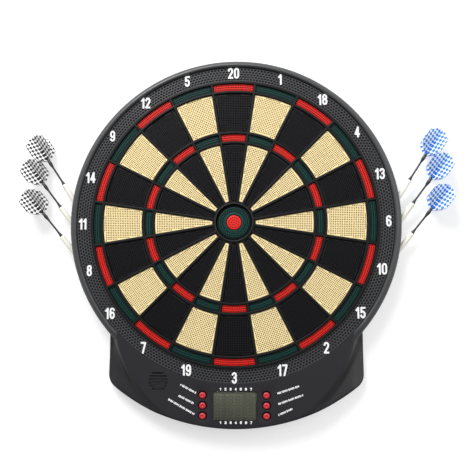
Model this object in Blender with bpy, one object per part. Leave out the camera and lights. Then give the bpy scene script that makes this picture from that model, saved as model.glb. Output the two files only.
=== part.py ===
"""Electronic dartboard with six soft-tip darts stowed in the sides of its case.

The board stands upright and faces -Y, with +Z up. The origin is on the bull's axis, on the plane of the wall
that the rear cover hangs against. Every depth is a y value, so the player's side is negative. Lengths are in
metres.
"""

import math

import bmesh
import bpy
from mathutils import Matrix, Vector

MM = 0.001

# Outline of the case, seen from the front
RIM_RADIUS = 200 * MM
CONSOLE_HALF_WIDTH = 153 * MM
CONSOLE_RADIUS = 243.5 * MM
CONSOLE_FILLET = 18 * MM
CREASE_CENTRE_Z = -105 * MM
CREASE_RADIUS = 144 * MM
WALL = 2.2 * MM
GAP = 0.3 * MM

# Depths, from the wall towards the player
COVER_REAR_Y = -0.4 * MM
PLATE_FRONT_Y = -2.2 * MM
RIB_FRONT_Y = -7.9 * MM
BOARD_Y = (-11.2 * MM, -8.2 * MM)
PAD_Y = (-13.5 * MM, -11.5 * MM)
MEMBRANE_Y = (-14.2 * MM, -13.8 * MM)
WEB_Y = (-16.7 * MM, -15.5 * MM)
SPIDER_Y = (-27 * MM, -17 * MM)
SEGMENT_FACE_Y = -25 * MM
FLANGE_Y = (-22 * MM, -19 * MM)
CATCH_RING_Y = (-24.6 * MM, -22.4 * MM)
PANEL_Y = -26 * MM
BEAD_Y = -28.4 * MM

# Target rings: the visible faces of the four segments of one number, inner and outer radius
SEGMENT_RINGS = (
    (26.1 * MM, 95.6 * MM),
    (99.6 * MM, 107.7 * MM),
    (111.9 * MM, 158.4 * MM),
    (162.4 * MM, 170.3 * MM),
)
SPIDER_RADIUS = 174.2 * MM
SPIDER_HALF_WALL = 1.5 * MM
SEGMENT_GAP = 0.5 * MM
HUB_RADII = (21.8 * MM, 23.8 * MM)
HUB_FRONT_Y = -28.4 * MM
BULL_RADII = (9.4 * MM, 21.3 * MM)
BULL_FLANGE_RADIUS = 24 * MM
STACK_RADIUS = 171 * MM
CATCH_RING_RADII = (174.6 * MM, 190.8 * MM)
NUMBERS = (20, 1, 18, 4, 13, 6, 10, 15, 2, 17, 3, 19, 7, 16, 8, 11, 14, 9, 12, 5)
SECTOR = 2 * math.pi / len(NUMBERS)
ARC_STEPS = 3
RIM_STEPS = 72

# Console fittings, as (x, z) centres
LCD_CENTRE = (0.5 * MM, -216.6 * MM)
LCD_OPENING = (51.4 * MM, 33.4 * MM)
BUTTON_X = 37.6 * MM
BUTTON_Z = (-204.3 * MM, -216.2 * MM, -228.2 * MM)
BUTTON_RADIUS = 4 * MM
SPEAKER_CENTRE = (-90.3 * MM, -187.9 * MM)
GRILLE_RADIUS = 12 * MM
SCREW_CENTRES = ((0, 187 * MM), (128 * MM, -192 * MM), (-128 * MM, -192 * MM))
CIRCUIT_Y = (-19.6 * MM, -18.2 * MM)
CELL_RADIUS = 7.1 * MM
CELL_LENGTH = 50.5 * MM
CELL_PITCH = 15.2 * MM
CELL_Y = -9.5 * MM
BAY_CENTRE_Z = -207.2 * MM
BAY_SIZE = (58 * MM, 46.2 * MM)
BAY_FRONT_Y = -16.8 * MM
KEYHOLE_CENTRES = ((-70 * MM, 110 * MM), (70 * MM, 110 * MM))
REAR_GROOVE_RADII = (84 * MM, 168 * MM)
REAR_GROOVE_WIDTH = 3 * MM
REAR_GROOVE_DEPTH = 0.6 * MM

# Darts, measured along their own axis from the point where it enters the case
DART_ENTRY_RADIUS = 200.5 * MM
DART_ENTRY_ANGLES = (math.radians(8.7), math.radians(0.8), math.radians(-9.4))
DART_RISES = (math.radians(56.7), math.radians(53.5), math.radians(51.2))
DART_DEPTH = -13.5 * MM
DART_LEANS = (math.radians(2), math.radians(4.3), math.radians(4.3))
DART_TIP = -42 * MM
BARREL_RADIUS = 3.1 * MM
BARREL_SPAN = (-20 * MM, 24 * MM)
SHAFT_END = 78 * MM
FLIGHT_SPAN = (60 * MM, 97 * MM)
FLIGHT_HALF_WIDTH = 17.5 * MM
FLIGHT_THICKNESS = 0.4 * MM
WING_TURNS = (math.radians(45), math.radians(135))
SLEEVE_RADII = (1.35 * MM, 1.75 * MM)
SLEEVE_SPAN = (62.4 * MM, 79 * MM)
BORE_RADIUS = 3.45 * MM


# ---------------------------------------------------------------- materials and objects


def material(name, colour, roughness, metallic=0.0):
    found = bpy.data.materials.new(name)
    found.use_nodes = True
    shader = found.node_tree.nodes["Principled BSDF"]
    shader.inputs["Base Color"].default_value = (*colour, 1)
    shader.inputs["Roughness"].default_value = roughness
    shader.inputs["Metallic"].default_value = metallic
    return found


def mesh_from(name, bm):
    bmesh.ops.recalc_face_normals(bm, faces=bm.faces)
    mesh = bpy.data.meshes.new(name)
    bm.to_mesh(mesh)
    bm.free()
    mesh.shade_smooth()
    mesh.set_sharp_from_angle(angle=math.radians(30))
    return mesh


def place(name, mesh, finish, location=(0, 0, 0), parent=None):
    thing = bpy.data.objects.new(name, mesh)
    bpy.context.scene.collection.objects.link(thing)
    if not mesh.materials:
        mesh.materials.append(finish)
    thing.material_slots[0].link = "OBJECT"
    thing.material_slots[0].material = finish
    thing.location = location
    thing.parent = parent
    return thing


def tool(name, mesh):
    """A hidden solid that only serves a Boolean."""
    thing = bpy.data.objects.new(name, mesh)
    bpy.context.scene.collection.objects.link(thing)
    thing.hide_render = True
    thing.display_type = "WIRE"
    return thing


def combine(target, operation, name, mesh):
    modifier = target.modifiers.new(name, "BOOLEAN")
    modifier.operation = operation
    modifier.solver = "EXACT"
    modifier.object = tool(f"{target.name}_{name}", mesh)
    modifier.object.matrix_world = target.matrix_world


# ---------------------------------------------------------------- shapes


def add_plate(bm, outline, front, rear):
    """Extrude a closed (x, z) outline between two depths; a depth may be a function of x."""
    front_at = front if callable(front) else lambda x: front
    rear_at = rear if callable(rear) else lambda x: rear
    near = [bm.verts.new((x, front_at(x), z)) for x, z in outline]
    far = [bm.verts.new((x, rear_at(x), z)) for x, z in outline]
    bm.faces.new(near)
    bm.faces.new(far[::-1])
    for i in range(len(outline)):
        bm.faces.new((near[i - 1], far[i - 1], far[i], near[i]))


def plate(outline, front, rear, name="plate"):
    bm = bmesh.new()
    add_plate(bm, outline, front, rear)
    return mesh_from(name, bm)


def plates(outlines, front, rear, name="plates"):
    bm = bmesh.new()
    for outline in outlines:
        add_plate(bm, outline, front, rear)
    return mesh_from(name, bm)


def rectangle(centre, size):
    x, z = centre
    half_x, half_z = size[0] / 2, size[1] / 2
    left, right, low, high = x - half_x, x + half_x, z - half_z, z + half_z
    return [(left, low), (right, low), (right, high), (left, high)]


def arc(centre, radius, start, end, steps):
    """Points on an arc, both ends included."""
    angles = [start + (end - start) * i / steps for i in range(steps + 1)]
    return [(centre[0] + radius * math.cos(a), centre[1] + radius * math.sin(a)) for a in angles]


def circle(centre, radius, steps):
    return arc(centre, radius, 0, 2 * math.pi, steps)[:-1]


def add_turned(bm, profile, steps, matrix=None, closed=False):
    """Spin a (radius, height) profile about local Z; an open profile starts and ends on the axis."""
    directions = circle((0, 0), 1, steps)
    rings = []
    for radius, height in profile:
        if radius == 0:
            rings.append([bm.verts.new((0, 0, height))] * steps)
        else:
            rings.append([bm.verts.new((radius * x, radius * y, height)) for x, y in directions])
    pairs = list(zip(rings, rings[1:])) + ([(rings[-1], rings[0])] if closed else [])
    for low, high in pairs:
        for i in range(steps):
            corners = [low[i - 1], low[i], high[i], high[i - 1]]
            bm.faces.new(list(dict.fromkeys(corners)))
    if matrix is not None:
        used = list(dict.fromkeys(v for ring in rings for v in ring))
        bmesh.ops.transform(bm, matrix=matrix, verts=used)


# Turns local Z, the axis of a turned shape, into the row's +Y, so that a profile's height is its depth.
FACE_ON = Matrix.Rotation(-math.pi / 2, 4, "X")
ALONG_X = Matrix.Rotation(math.pi / 2, 4, "Y")


def turned(name, profile, steps, matrix=FACE_ON, closed=False):
    bm = bmesh.new()
    add_turned(bm, profile, steps, matrix, closed)
    return mesh_from(name, bm)


def at(centre, y=0.0):
    return Matrix.Translation((centre[0], y, centre[1])) @ FACE_ON


def polar_point(radius, column, half_wall):
    """A corner on the target's grid, whose columns run clockwise from the wall at the top number's left.

    The first column of every sector is half of the wall's thickness wide on each side of the sector's edge.
    """
    sector, step = divmod(column, ARC_STEPS + 1)
    wall = math.asin(half_wall / radius)
    start = math.pi / 2 + SECTOR / 2 - sector * SECTOR
    span = SECTOR - 2 * wall
    angle = start + wall if step == 0 else start - wall - span * (step - 1) / ARC_STEPS
    return radius * math.cos(angle), radius * math.sin(angle)


def target_solid(name, radii, depths, columns, half_wall, is_solid):
    """One closed solid made of the filled cells of a grid of radii, angular columns and depths."""
    whole_turn = len(NUMBERS) * (ARC_STEPS + 1)
    bm = bmesh.new()
    corners = {}

    def corner(row, column, level):
        key = (row, column % whole_turn, level)
        if key not in corners:
            x, z = polar_point(radii[row], column % whole_turn, half_wall)
            corners[key] = bm.verts.new((x, depths[level], z))
        return corners[key]

    def filled(row, column, level):
        if len(columns) == whole_turn:
            column %= whole_turn
        inside = 0 <= row < len(radii) - 1 and 0 <= level < len(depths) - 1 and column in columns
        return inside and is_solid(row, column, level)

    for row in range(len(radii) - 1):
        for column in columns:
            for level in range(len(depths) - 1):
                if not filled(row, column, level):
                    continue
                for axis in range(3):
                    for step in (0, 1):
                        beside = [row, column, level]
                        beside[axis] += 2 * step - 1
                        if filled(*beside):
                            continue
                        face = []
                        for first, second in ((0, 0), (1, 0), (1, 1), (0, 1)):
                            key = [row, column, level]
                            key[axis] += step
                            key[(axis + 1) % 3] += first
                            key[(axis + 2) % 3] += second
                            face.append(corner(*key))
                        bm.faces.new(face)
    return mesh_from(name, bm)


def mirrored(outline):
    return [(-x, z) for x, z in outline][::-1]


# ---------------------------------------------------------------- outline of the case


def console_corner(half_width, radius, fillet):
    """The right-hand corner of the console, from its side to its curved bottom."""
    centre_x = half_width - fillet
    centre_z = -math.sqrt((radius - fillet) ** 2 - centre_x**2)
    return arc((centre_x, centre_z), fillet, 0, math.atan2(centre_z, centre_x), 4)


def case_outline(inset=0.0):
    """The whole case: the round rim above, and the console's sides and bottom below."""
    rim = RIM_RADIUS - 1.4 * MM - inset
    half_width = CONSOLE_HALF_WIDTH - inset
    bottom = CONSOLE_RADIUS - inset
    meets = -math.acos(half_width / rim)
    corner = console_corner(half_width, bottom, CONSOLE_FILLET - inset)
    ends_at = math.atan2(corner[-1][1], corner[-1][0])
    rim_points = arc((0, 0), rim, math.pi - meets, meets, 60)
    bottom_points = arc((0, 0), bottom, ends_at, -math.pi - ends_at, 14)[1:-1]
    return rim_points + corner + bottom_points + mirrored(corner)


def crease_angle(rim, crease):
    """Direction from the origin in which the crease's circle cuts the circle of radius rim."""
    drop = (crease**2 - rim**2 - CREASE_CENTRE_Z**2) / (-2 * CREASE_CENTRE_Z)
    return math.asin(drop / rim)


def crease_arc(top_rim, bottom_rim, radius, steps=10):
    """The right-hand crease, from the circle top_rim down to the circle bottom_rim."""
    ends = []
    for rim in (top_rim, bottom_rim):
        angle = crease_angle(rim, radius)
        ends.append(math.atan2(rim * math.sin(angle) - CREASE_CENTRE_Z, rim * math.cos(angle)))
    return arc((0, CREASE_CENTRE_Z), radius, ends[0], ends[1], steps)


def panel_outline(top_rim, bottom_rim, radius):
    right = crease_arc(top_rim, bottom_rim, radius)
    top_angle = crease_angle(top_rim, radius)
    bottom_angle = crease_angle(bottom_rim, radius)
    bottom = arc((0, 0), bottom_rim, bottom_angle, -math.pi - bottom_angle, 6)[1:-1]
    top = arc((0, 0), top_rim, -math.pi - top_angle, top_angle, 16)[1:-1]
    return right + bottom + mirrored(right) + top


def wing_y(x, thickness=0.0):
    """The wing's front surface: it falls back towards the side of the console."""
    return -20 * MM + 0.15 * (abs(x) - 100 * MM) + thickness


# ---------------------------------------------------------------- case


def rim_shell():
    """Cross-section of the front cover's rim, from its inner lip over the bead to its rear edge."""
    inner, outer = CATCH_RING_RADII
    front, behind = CATCH_RING_Y
    return [
        (inner, behind),
        (inner, front),
        (outer, front),
        (192 * MM, -27.2 * MM),
        (194.6 * MM, BEAD_Y),
        (197.6 * MM, -27.4 * MM),
        (199.6 * MM, -24.6 * MM),
        (RIM_RADIUS, -20.5 * MM),
        (199 * MM, -17 * MM),
        (198.6 * MM, COVER_REAR_Y),
        (196.4 * MM, COVER_REAR_Y),
        (197.6 * MM, -21 * MM),
        (194.7 * MM, -25.7 * MM),
        (192.4 * MM, behind),
    ]


def socket_blocks():
    """Solid wedges inside the rim, left and right, that the dart sockets are bored in."""
    bm = bmesh.new()
    inner, outer = 178.6 * MM, 198.2 * MM
    for right in (True, False):
        low, high = math.radians(-27), math.radians(7)
        if not right:
            low, high = math.pi - high, math.pi - low
        outline = arc((0, 0), outer, low, high, 8) + arc((0, 0), inner, high, low, 8)
        add_plate(bm, outline, -22.6 * MM, -5.5 * MM)
    return mesh_from("socket_blocks", bm)


def dart_matrix(index, side):
    """Frame of one stowed dart: local Z points out of its socket, and local X lies parallel to the wall."""
    angle, rise, lean = DART_ENTRY_ANGLES[index], DART_RISES[index], DART_LEANS[index]
    entry = Vector((side * math.cos(angle), 0, math.sin(angle))) * DART_ENTRY_RADIUS
    entry.y = DART_DEPTH
    outward = Vector((side * math.cos(rise), -math.tan(lean), math.sin(rise))).normalized()
    across = Vector((0, 1, 0)).cross(outward).normalized()
    normal = outward.cross(across)
    turn = Matrix((across, normal, outward)).transposed()
    return Matrix.Translation(entry) @ turn.to_4x4()


def add_socket_bores(bm):
    profile = [(0, -60 * MM), (BORE_RADIUS, -60 * MM), (BORE_RADIUS, 8 * MM), (0, 8 * MM)]
    for side in (1, -1):
        for index in range(len(DART_RISES)):
            add_turned(bm, profile, 12, dart_matrix(index, side))


def screw_bosses():
    bm = bmesh.new()
    fronts = (-22.6 * MM, -14.4 * MM, -14.4 * MM)
    for centre, front in zip(SCREW_CENTRES, fronts):
        rear = PLATE_FRONT_Y - GAP
        off_facet = at(centre) @ Matrix.Rotation(math.radians(11), 4, "Z")
        add_turned(bm, [(0, front), (4 * MM, front), (4 * MM, rear), (0, rear)], 12, off_facet)
    return mesh_from("screw_bosses", bm)


def add_screw_holes(bm):
    radius, depth = 1.55 * MM, -11.6 * MM
    for centre in SCREW_CENTRES:
        off_facet = at(centre) @ Matrix.Rotation(math.radians(5), 4, "Z")
        add_turned(bm, [(0, depth), (radius, depth), (radius, 1 * MM), (0, 1 * MM)], 8, off_facet)


def grille_slots():
    """Horizontal slots that fill the round speaker grille."""
    count, pitch, height = 6, 3.7 * MM, 1.6 * MM
    outlines = []
    for i in range(count):
        offset = (i - (count - 1) / 2) * pitch
        width = 2 * math.sqrt(GRILLE_RADIUS**2 - offset**2) - 1 * MM
        outlines.append(rectangle((SPEAKER_CENTRE[0], SPEAKER_CENTRE[1] + offset), (width, height)))
    return outlines


def button_centres():
    return [(side * BUTTON_X, z) for side in (-1, 1) for z in BUTTON_Z]


def cover_holes():
    """Every hole in the front cover: dart sockets, screw holes, grille, buttons and display."""
    bm = bmesh.new()
    add_socket_bores(bm)
    add_screw_holes(bm)
    outlines = grille_slots() + [rectangle(LCD_CENTRE, LCD_OPENING)]
    outlines += [circle(centre, BUTTON_RADIUS + 0.35 * MM, 12) for centre in button_centres()]
    for outline in outlines:
        add_plate(bm, outline, PANEL_Y - 1 * MM, PANEL_Y + 4 * MM)
    return mesh_from("cover_holes", bm)


def wing_cut():
    """Everything in front of the two wings."""
    rim = RIM_RADIUS + 0.4 * MM
    far_x, far_z, top = 175 * MM, -262 * MM, math.radians(-31)
    down = crease_arc(rim, 246.5 * MM, CREASE_RADIUS)
    back = arc((0, 0), rim, top, crease_angle(rim, CREASE_RADIUS), 5)[:-1]
    right = down + [(50 * MM, far_z), (far_x, far_z), (far_x, rim * math.sin(top))] + back
    bm = bmesh.new()
    for outline in (right, mirrored(right)):
        add_plate(bm, outline, -40 * MM, wing_y)
    return mesh_from("wing_cut", bm)


def wing_hollow():
    """The hollow behind both wings, one wall thickness under their front surface."""
    bm = bmesh.new()
    rim = RIM_RADIUS + 1 * MM
    half_width = CONSOLE_HALF_WIDTH - WALL
    bottom = CONSOLE_RADIUS - WALL
    right = console_corner(half_width, bottom, CONSOLE_FILLET - WALL)
    top = -math.acos(half_width / rim)
    crease = CREASE_RADIUS - 4 * MM
    inside = crease_arc(rim, bottom, crease)
    bottom_end = math.atan2(inside[-1][1], inside[-1][0])
    corner_end = math.atan2(right[-1][1], right[-1][0])
    bottom_points = arc((0, 0), bottom, corner_end, bottom_end, 4)[1:-1]
    rim_points = arc((0, 0), rim, crease_angle(rim, crease), top, 4)[1:]
    region = list(dict.fromkeys(rim_points + right + bottom_points + inside[::-1]))
    for outline in (region, mirrored(region)):
        add_plate(bm, outline, lambda x: wing_y(x, WALL), 1 * MM)
    return mesh_from("wing_hollow", bm)


def build_front_cover(finish):
    """Rim with catch ring and bead, and the console with its raised panel and two lower wings."""
    cover = place("front_cover", turned("front_cover", rim_shell(), RIM_STEPS, closed=True), finish)
    console = case_outline()
    lower = [p for p in console if math.hypot(*p) > RIM_RADIUS + 1 * MM]
    meets = math.acos(CONSOLE_HALF_WIDTH / (RIM_RADIUS - 1.4 * MM))
    closing = arc((0, 0), 197.6 * MM, -math.pi + meets, -meets, 18)
    combine(cover, "UNION", "console", plate(lower + closing, PANEL_Y, COVER_REAR_Y))
    infill = panel_outline(CATCH_RING_RADII[1] - 0.6 * MM, 199 * MM, CREASE_RADIUS - 0.3 * MM)
    combine(cover, "UNION", "panel", plate(infill, PANEL_Y, CATCH_RING_Y[1]))
    over = panel_outline(CATCH_RING_RADII[1] - 0.6 * MM, 230 * MM, CREASE_RADIUS)
    combine(cover, "DIFFERENCE", "bead_end", plate(over, -40 * MM, PANEL_Y - 0.2 * MM))
    combine(cover, "DIFFERENCE", "wings", wing_cut())
    combine(cover, "DIFFERENCE", "wing_hollow", wing_hollow())
    hollow = panel_outline(193 * MM, CONSOLE_RADIUS - WALL, CREASE_RADIUS - WALL)
    combine(cover, "DIFFERENCE", "panel_hollow", plate(hollow, PANEL_Y + WALL, 1 * MM))
    combine(cover, "UNION", "sockets", socket_blocks())
    combine(cover, "UNION", "bosses", screw_bosses())
    combine(cover, "DIFFERENCE", "rear_seat", plate(case_outline(WALL), PLATE_FRONT_Y - GAP, 1 * MM))
    combine(cover, "DIFFERENCE", "holes", cover_holes())


def keyhole(centre):
    """A round hole for a screw head with a narrow slot above it."""
    wide, narrow, rise = 4.5 * MM, 2.2 * MM, 10 * MM
    x, z = centre
    joins = math.acos(narrow / wide)
    lower = arc(centre, wide, math.pi - joins, 2 * math.pi + joins, 12)
    upper = arc((x, z + rise), narrow, 0, math.pi, 6)
    return lower + upper


def rear_ribs():
    """Two round ribs on the rear cover that the backing board rests on."""
    bm = bmesh.new()
    for radius in (62 * MM, 152 * MM):
        outer, front, rear = radius + 2 * MM, RIB_FRONT_Y, PLATE_FRONT_Y + 0.5 * MM
        profile = [(radius, front), (outer, front), (outer, rear), (radius, rear)]
        add_turned(bm, profile, 36, FACE_ON, closed=True)
    return mesh_from("rear_ribs", bm)


def rear_grooves():
    """Two shallow round grooves that break up the flat back of the rear cover."""
    bm = bmesh.new()
    for inner in REAR_GROOVE_RADII:
        outer, front, rear = inner + REAR_GROOVE_WIDTH, -REAR_GROOVE_DEPTH, 1 * MM
        profile = [(inner, front), (outer, front), (outer, rear), (inner, rear)]
        add_turned(bm, profile, 48, FACE_ON, closed=True)
    return mesh_from("rear_grooves", bm)


def build_rear_cover(finish):
    cover = place("rear_cover", plate(case_outline(WALL + GAP), PLATE_FRONT_Y, 0), finish)
    combine(cover, "DIFFERENCE", "grooves", rear_grooves())
    combine(cover, "UNION", "ribs", rear_ribs())
    around = (BAY_SIZE[0] + 6.8 * MM, BAY_SIZE[1] + 6.8 * MM)
    box = plate(rectangle((0, BAY_CENTRE_Z), around), BAY_FRONT_Y - 1 * MM, PLATE_FRONT_Y + 0.6 * MM)
    combine(cover, "UNION", "battery_box", box)
    combine(cover, "DIFFERENCE", "bay", plate(rectangle((0, BAY_CENTRE_Z), BAY_SIZE), BAY_FRONT_Y, 1 * MM))
    seat = (BAY_SIZE[0] + 4 * MM, BAY_SIZE[1] + 4 * MM)
    combine(cover, "DIFFERENCE", "door_seat", plate(rectangle((0, BAY_CENTRE_Z), seat), -1.9 * MM, 1 * MM))
    openings = [keyhole(centre) for centre in KEYHOLE_CENTRES]
    openings += [circle(centre, 1.7 * MM, 8) for centre in SCREW_CENTRES]
    combine(cover, "DIFFERENCE", "openings", plates(openings, -5 * MM, 1 * MM))
    sinks = [circle(centre, 3.3 * MM, 12) for centre in SCREW_CENTRES]
    combine(cover, "DIFFERENCE", "sinks", plates(sinks, -1.3 * MM, 1 * MM))


def build_screws(finish):
    """Pan-head screws, their heads sunk just below the back of the rear cover."""
    shank_radius, head_radius, length = 1.35 * MM, 3 * MM, 10 * MM
    top, under = -0.2 * MM, -1.2 * MM
    profile = [
        (0, under - length),
        (shank_radius, under - length + 1 * MM),
        (shank_radius, under),
        (head_radius, under),
        (head_radius - 0.2 * MM, top),
        (0, top),
    ]
    mesh = turned("cover_screw", profile, 10)
    for number, centre in enumerate(SCREW_CENTRES, 1):
        place(f"cover_screw_{number}", mesh, finish, (centre[0], 0, centre[1]))


def build_battery_door(finish):
    """The door, with a row of finger grooves by its lower edge."""
    size = (BAY_SIZE[0] + 3.4 * MM, BAY_SIZE[1] + 3.4 * MM)
    door = place("battery_door", plate(rectangle((0, 0), size), -1.6 * MM, 0), finish, (0, 0, BAY_CENTRE_Z))
    bpy.context.view_layer.update()
    count, pitch, groove = 4, 2.6 * MM, (18 * MM, 1.2 * MM)
    lowest = -size[1] / 2 + 4 * MM
    grooves = [rectangle((0, lowest + i * pitch), groove) for i in range(count)]
    combine(door, "DIFFERENCE", "grip", plates(grooves, -0.6 * MM, 1 * MM))


# ---------------------------------------------------------------- target


def build_spider(finish):
    """The grid that divides the target, with its raised hub and the flange that the front cover holds."""
    radii = [HUB_RADII[0] + 0.6 * MM, HUB_RADII[1] - 0.4 * MM]
    for (_, outer), (inner, _) in zip(SEGMENT_RINGS, SEGMENT_RINGS[1:]):
        radii += [outer + SEGMENT_GAP, inner - SEGMENT_GAP]
    radii += [SEGMENT_RINGS[-1][1] + SEGMENT_GAP, SPIDER_RADIUS]
    columns = range(len(NUMBERS) * (ARC_STEPS + 1))

    def is_wall(row, column, _level):
        return row % 2 == 0 or column % (ARC_STEPS + 1) == 0

    mesh = target_solid("spider", radii, SPIDER_Y, columns, SPIDER_HALF_WALL, is_wall)
    spider = place("spider", mesh, finish)
    inner, outer = SPIDER_RADIUS - 1.6 * MM, SPIDER_RADIUS + 3.8 * MM
    front, rear = FLANGE_Y
    flange = [(inner, front), (outer, front), (outer, rear), (inner, rear)]
    combine(spider, "UNION", "flange", turned("flange", flange, 40, closed=True))
    inner, outer = HUB_RADII
    rear = SPIDER_Y[1] - 0.2 * MM
    hub = [(inner, HUB_FRONT_Y), (outer, HUB_FRONT_Y), (outer, rear), (inner, rear)]
    combine(spider, "UNION", "hub", turned("hub", hub, 30, closed=True))


def build_inserts(dark, light):
    """One insert for each number: its four segments stand on a thin web that runs behind the spider."""
    radii = [radius for ring in SEGMENT_RINGS for radius in ring]
    depths = (SEGMENT_FACE_Y, *WEB_Y)
    columns = range(1, ARC_STEPS + 1)

    def is_insert(row, _column, level):
        return level == 1 or row % 2 == 0

    mesh = target_solid("insert", radii, depths, columns, SPIDER_HALF_WALL + SEGMENT_GAP, is_insert)
    for index, number in enumerate(NUMBERS):
        finish = dark if index % 2 == 0 else light
        insert = place(f"insert_{number}", mesh, finish)
        insert.rotation_euler.y = index * SECTOR


def build_bull(green, red):
    hole, edge = BULL_RADII
    front, rear = WEB_Y
    under = front - 0.5 * MM
    outer = [
        (hole, SEGMENT_FACE_Y),
        (edge, SEGMENT_FACE_Y),
        (edge, front),
        (BULL_FLANGE_RADIUS, front),
        (BULL_FLANGE_RADIUS, rear),
        (hole + 2.3 * MM, rear),
        (hole + 2.3 * MM, under),
        (hole, under),
    ]
    place("outer_bull", turned("outer_bull", outer, 40, closed=True), green)
    radius = hole - 0.6 * MM
    face = SEGMENT_FACE_Y - 0.4 * MM
    flange_front = rear - 0.6 * MM
    inner = [
        (0, face),
        (radius, face),
        (radius, flange_front),
        (radius + 2.4 * MM, flange_front),
        (radius + 2.4 * MM, rear),
        (0, rear),
    ]
    place("inner_bull", turned("inner_bull", inner, 24), red)


def build_target_stack(film, foam, fibreboard):
    """Sensor membrane with its tail to the circuit board, foam pad and backing board, behind the inserts."""
    tail_left, tail_right, tail_end = -68 * MM, -44 * MM, -198 * MM
    left = math.atan2(-math.sqrt(STACK_RADIUS**2 - tail_left**2), tail_left)
    right = math.atan2(-math.sqrt(STACK_RADIUS**2 - tail_right**2), tail_right)
    outline = arc((0, 0), STACK_RADIUS, right, left + 2 * math.pi, 44)
    outline += [(tail_left, tail_end), (tail_right, tail_end)]
    place("sensor_membrane", plate(outline, *MEMBRANE_Y), film)
    place("foam_pad", plate(circle((0, 0), STACK_RADIUS, 48), *PAD_Y), foam)
    place("backing_board", plate(circle((0, 0), STACK_RADIUS, 48), *BOARD_Y), fibreboard)


# ---------------------------------------------------------------- console


def build_electronics(board_green, glass, clear, rubber, speaker_grey):
    front, rear = CIRCUIT_Y
    outline = rectangle((0, -209 * MM), (114 * MM, 46 * MM))
    board = place("main_board", plate(outline, front, rear), board_green)
    connector = rectangle((-52 * MM, -191.4 * MM), (10 * MM, 8 * MM))
    combine(board, "UNION", "connector", plate(connector, rear - 0.4 * MM, MEMBRANE_Y[0] - GAP))
    place("lcd_panel", plate(rectangle(LCD_CENTRE, (54 * MM, 38 * MM)), -22.2 * MM, front - GAP), glass)
    size = (LCD_OPENING[0] - 2 * GAP, LCD_OPENING[1] - 2 * GAP)
    window = place("lcd_window", plate(rectangle(LCD_CENTRE, size), PANEL_Y - 0.1 * MM, -23.1 * MM), clear)
    rim = (LCD_OPENING[0] + 3 * MM, LCD_OPENING[1] + 3 * MM)
    combine(window, "UNION", "rim", plate(rectangle(LCD_CENTRE, rim), PANEL_Y + WALL + GAP, -22.6 * MM))

    outer, inner, top = 43 * MM, 30.5 * MM, -188 * MM
    low, under_bridge = BUTTON_Z[-1] - 4.2 * MM, -195 * MM
    bridge = [
        (-outer, low),
        (-inner, low),
        (-inner, under_bridge),
        (inner, under_bridge),
        (inner, low),
        (outer, low),
        (outer, top),
        (-outer, top),
    ]
    mat = place("keypad_mat", plate(bridge, front - 0.9 * MM, front - GAP), rubber)
    bm = bmesh.new()
    for centre in button_centres():
        dome = [(0, -21.2 * MM), (2 * MM, -21.2 * MM), (3.4 * MM, front - 0.6 * MM), (0, front - 0.6 * MM)]
        add_turned(bm, dome, 10, at(centre))
    combine(mat, "UNION", "domes", mesh_from("domes", bm))

    cone = [
        (0, -23.3 * MM),
        (13.6 * MM, -23.3 * MM),
        (13.6 * MM, -22 * MM),
        (8 * MM, -17.6 * MM),
        (8 * MM, -13 * MM),
        (0, -13 * MM),
    ]
    place("speaker", turned("speaker", cone, 24), speaker_grey, (SPEAKER_CENTRE[0], 0, SPEAKER_CENTRE[1]))


def build_buttons(finish):
    behind = PANEL_Y + WALL + GAP
    profile = [
        (0, -28.3 * MM),
        (2.4 * MM, -28 * MM),
        (3.7 * MM, -27 * MM),
        (BUTTON_RADIUS, -25.8 * MM),
        (BUTTON_RADIUS, behind),
        (5.2 * MM, behind),
        (5.2 * MM, behind + 0.8 * MM),
        (0, behind + 0.8 * MM),
    ]
    mesh = turned("button", profile, 12)
    for number, centre in enumerate(button_centres(), 1):
        place(f"button_{number}", mesh, finish, (centre[0], 0, centre[1]))


def build_batteries(jacket, spring_steel):
    """Three AA cells, each turned the other way from its neighbour, and the contacts at both ends of them."""
    half, nub = CELL_LENGTH / 2, 1.2 * MM
    nub_radius = 2.7 * MM
    profile = [
        (0, -half),
        (CELL_RADIUS, -half),
        (CELL_RADIUS, half - nub),
        (nub_radius, half - nub),
        (nub_radius, half),
        (0, half),
    ]
    mesh = turned("battery", profile, 14, ALONG_X)
    heights = [BAY_CENTRE_Z + (1 - i) * CELL_PITCH for i in range(3)]
    for number, z in enumerate(heights, 1):
        cell = place(f"battery_{number}", mesh, jacket, (0, CELL_Y, z))
        cell.rotation_euler.z = math.pi * (number % 2)
    wall, thickness, tip = BAY_SIZE[0] / 2 - GAP, 0.5 * MM, CELL_LENGTH / 2 + GAP
    for name, side, base_radius in (("contact_springs", -1, 4 * MM), ("contact_plate", 1, 2.2 * MM)):
        bm = bmesh.new()
        strip = rectangle((side * (wall - thickness / 2), BAY_CENTRE_Z), (thickness, BAY_SIZE[1] - 2 * MM))
        add_plate(bm, strip, CELL_Y - 5 * MM, CELL_Y + 5 * MM)
        contact = place(name, mesh_from(name, bm), spring_steel)
        bm = bmesh.new()
        for z in heights:
            length = wall - 0.2 * MM
            cone = [(0, length), (base_radius, length), (1.8 * MM, tip), (0, tip)]
            side_on = Matrix.Translation((0, CELL_Y, z)) @ Matrix.Rotation(side * math.pi / 2, 4, "Y")
            add_turned(bm, cone, 10, side_on)
        combine(contact, "UNION", "bumps", mesh_from("bumps", bm))


# ---------------------------------------------------------------- darts


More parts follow.
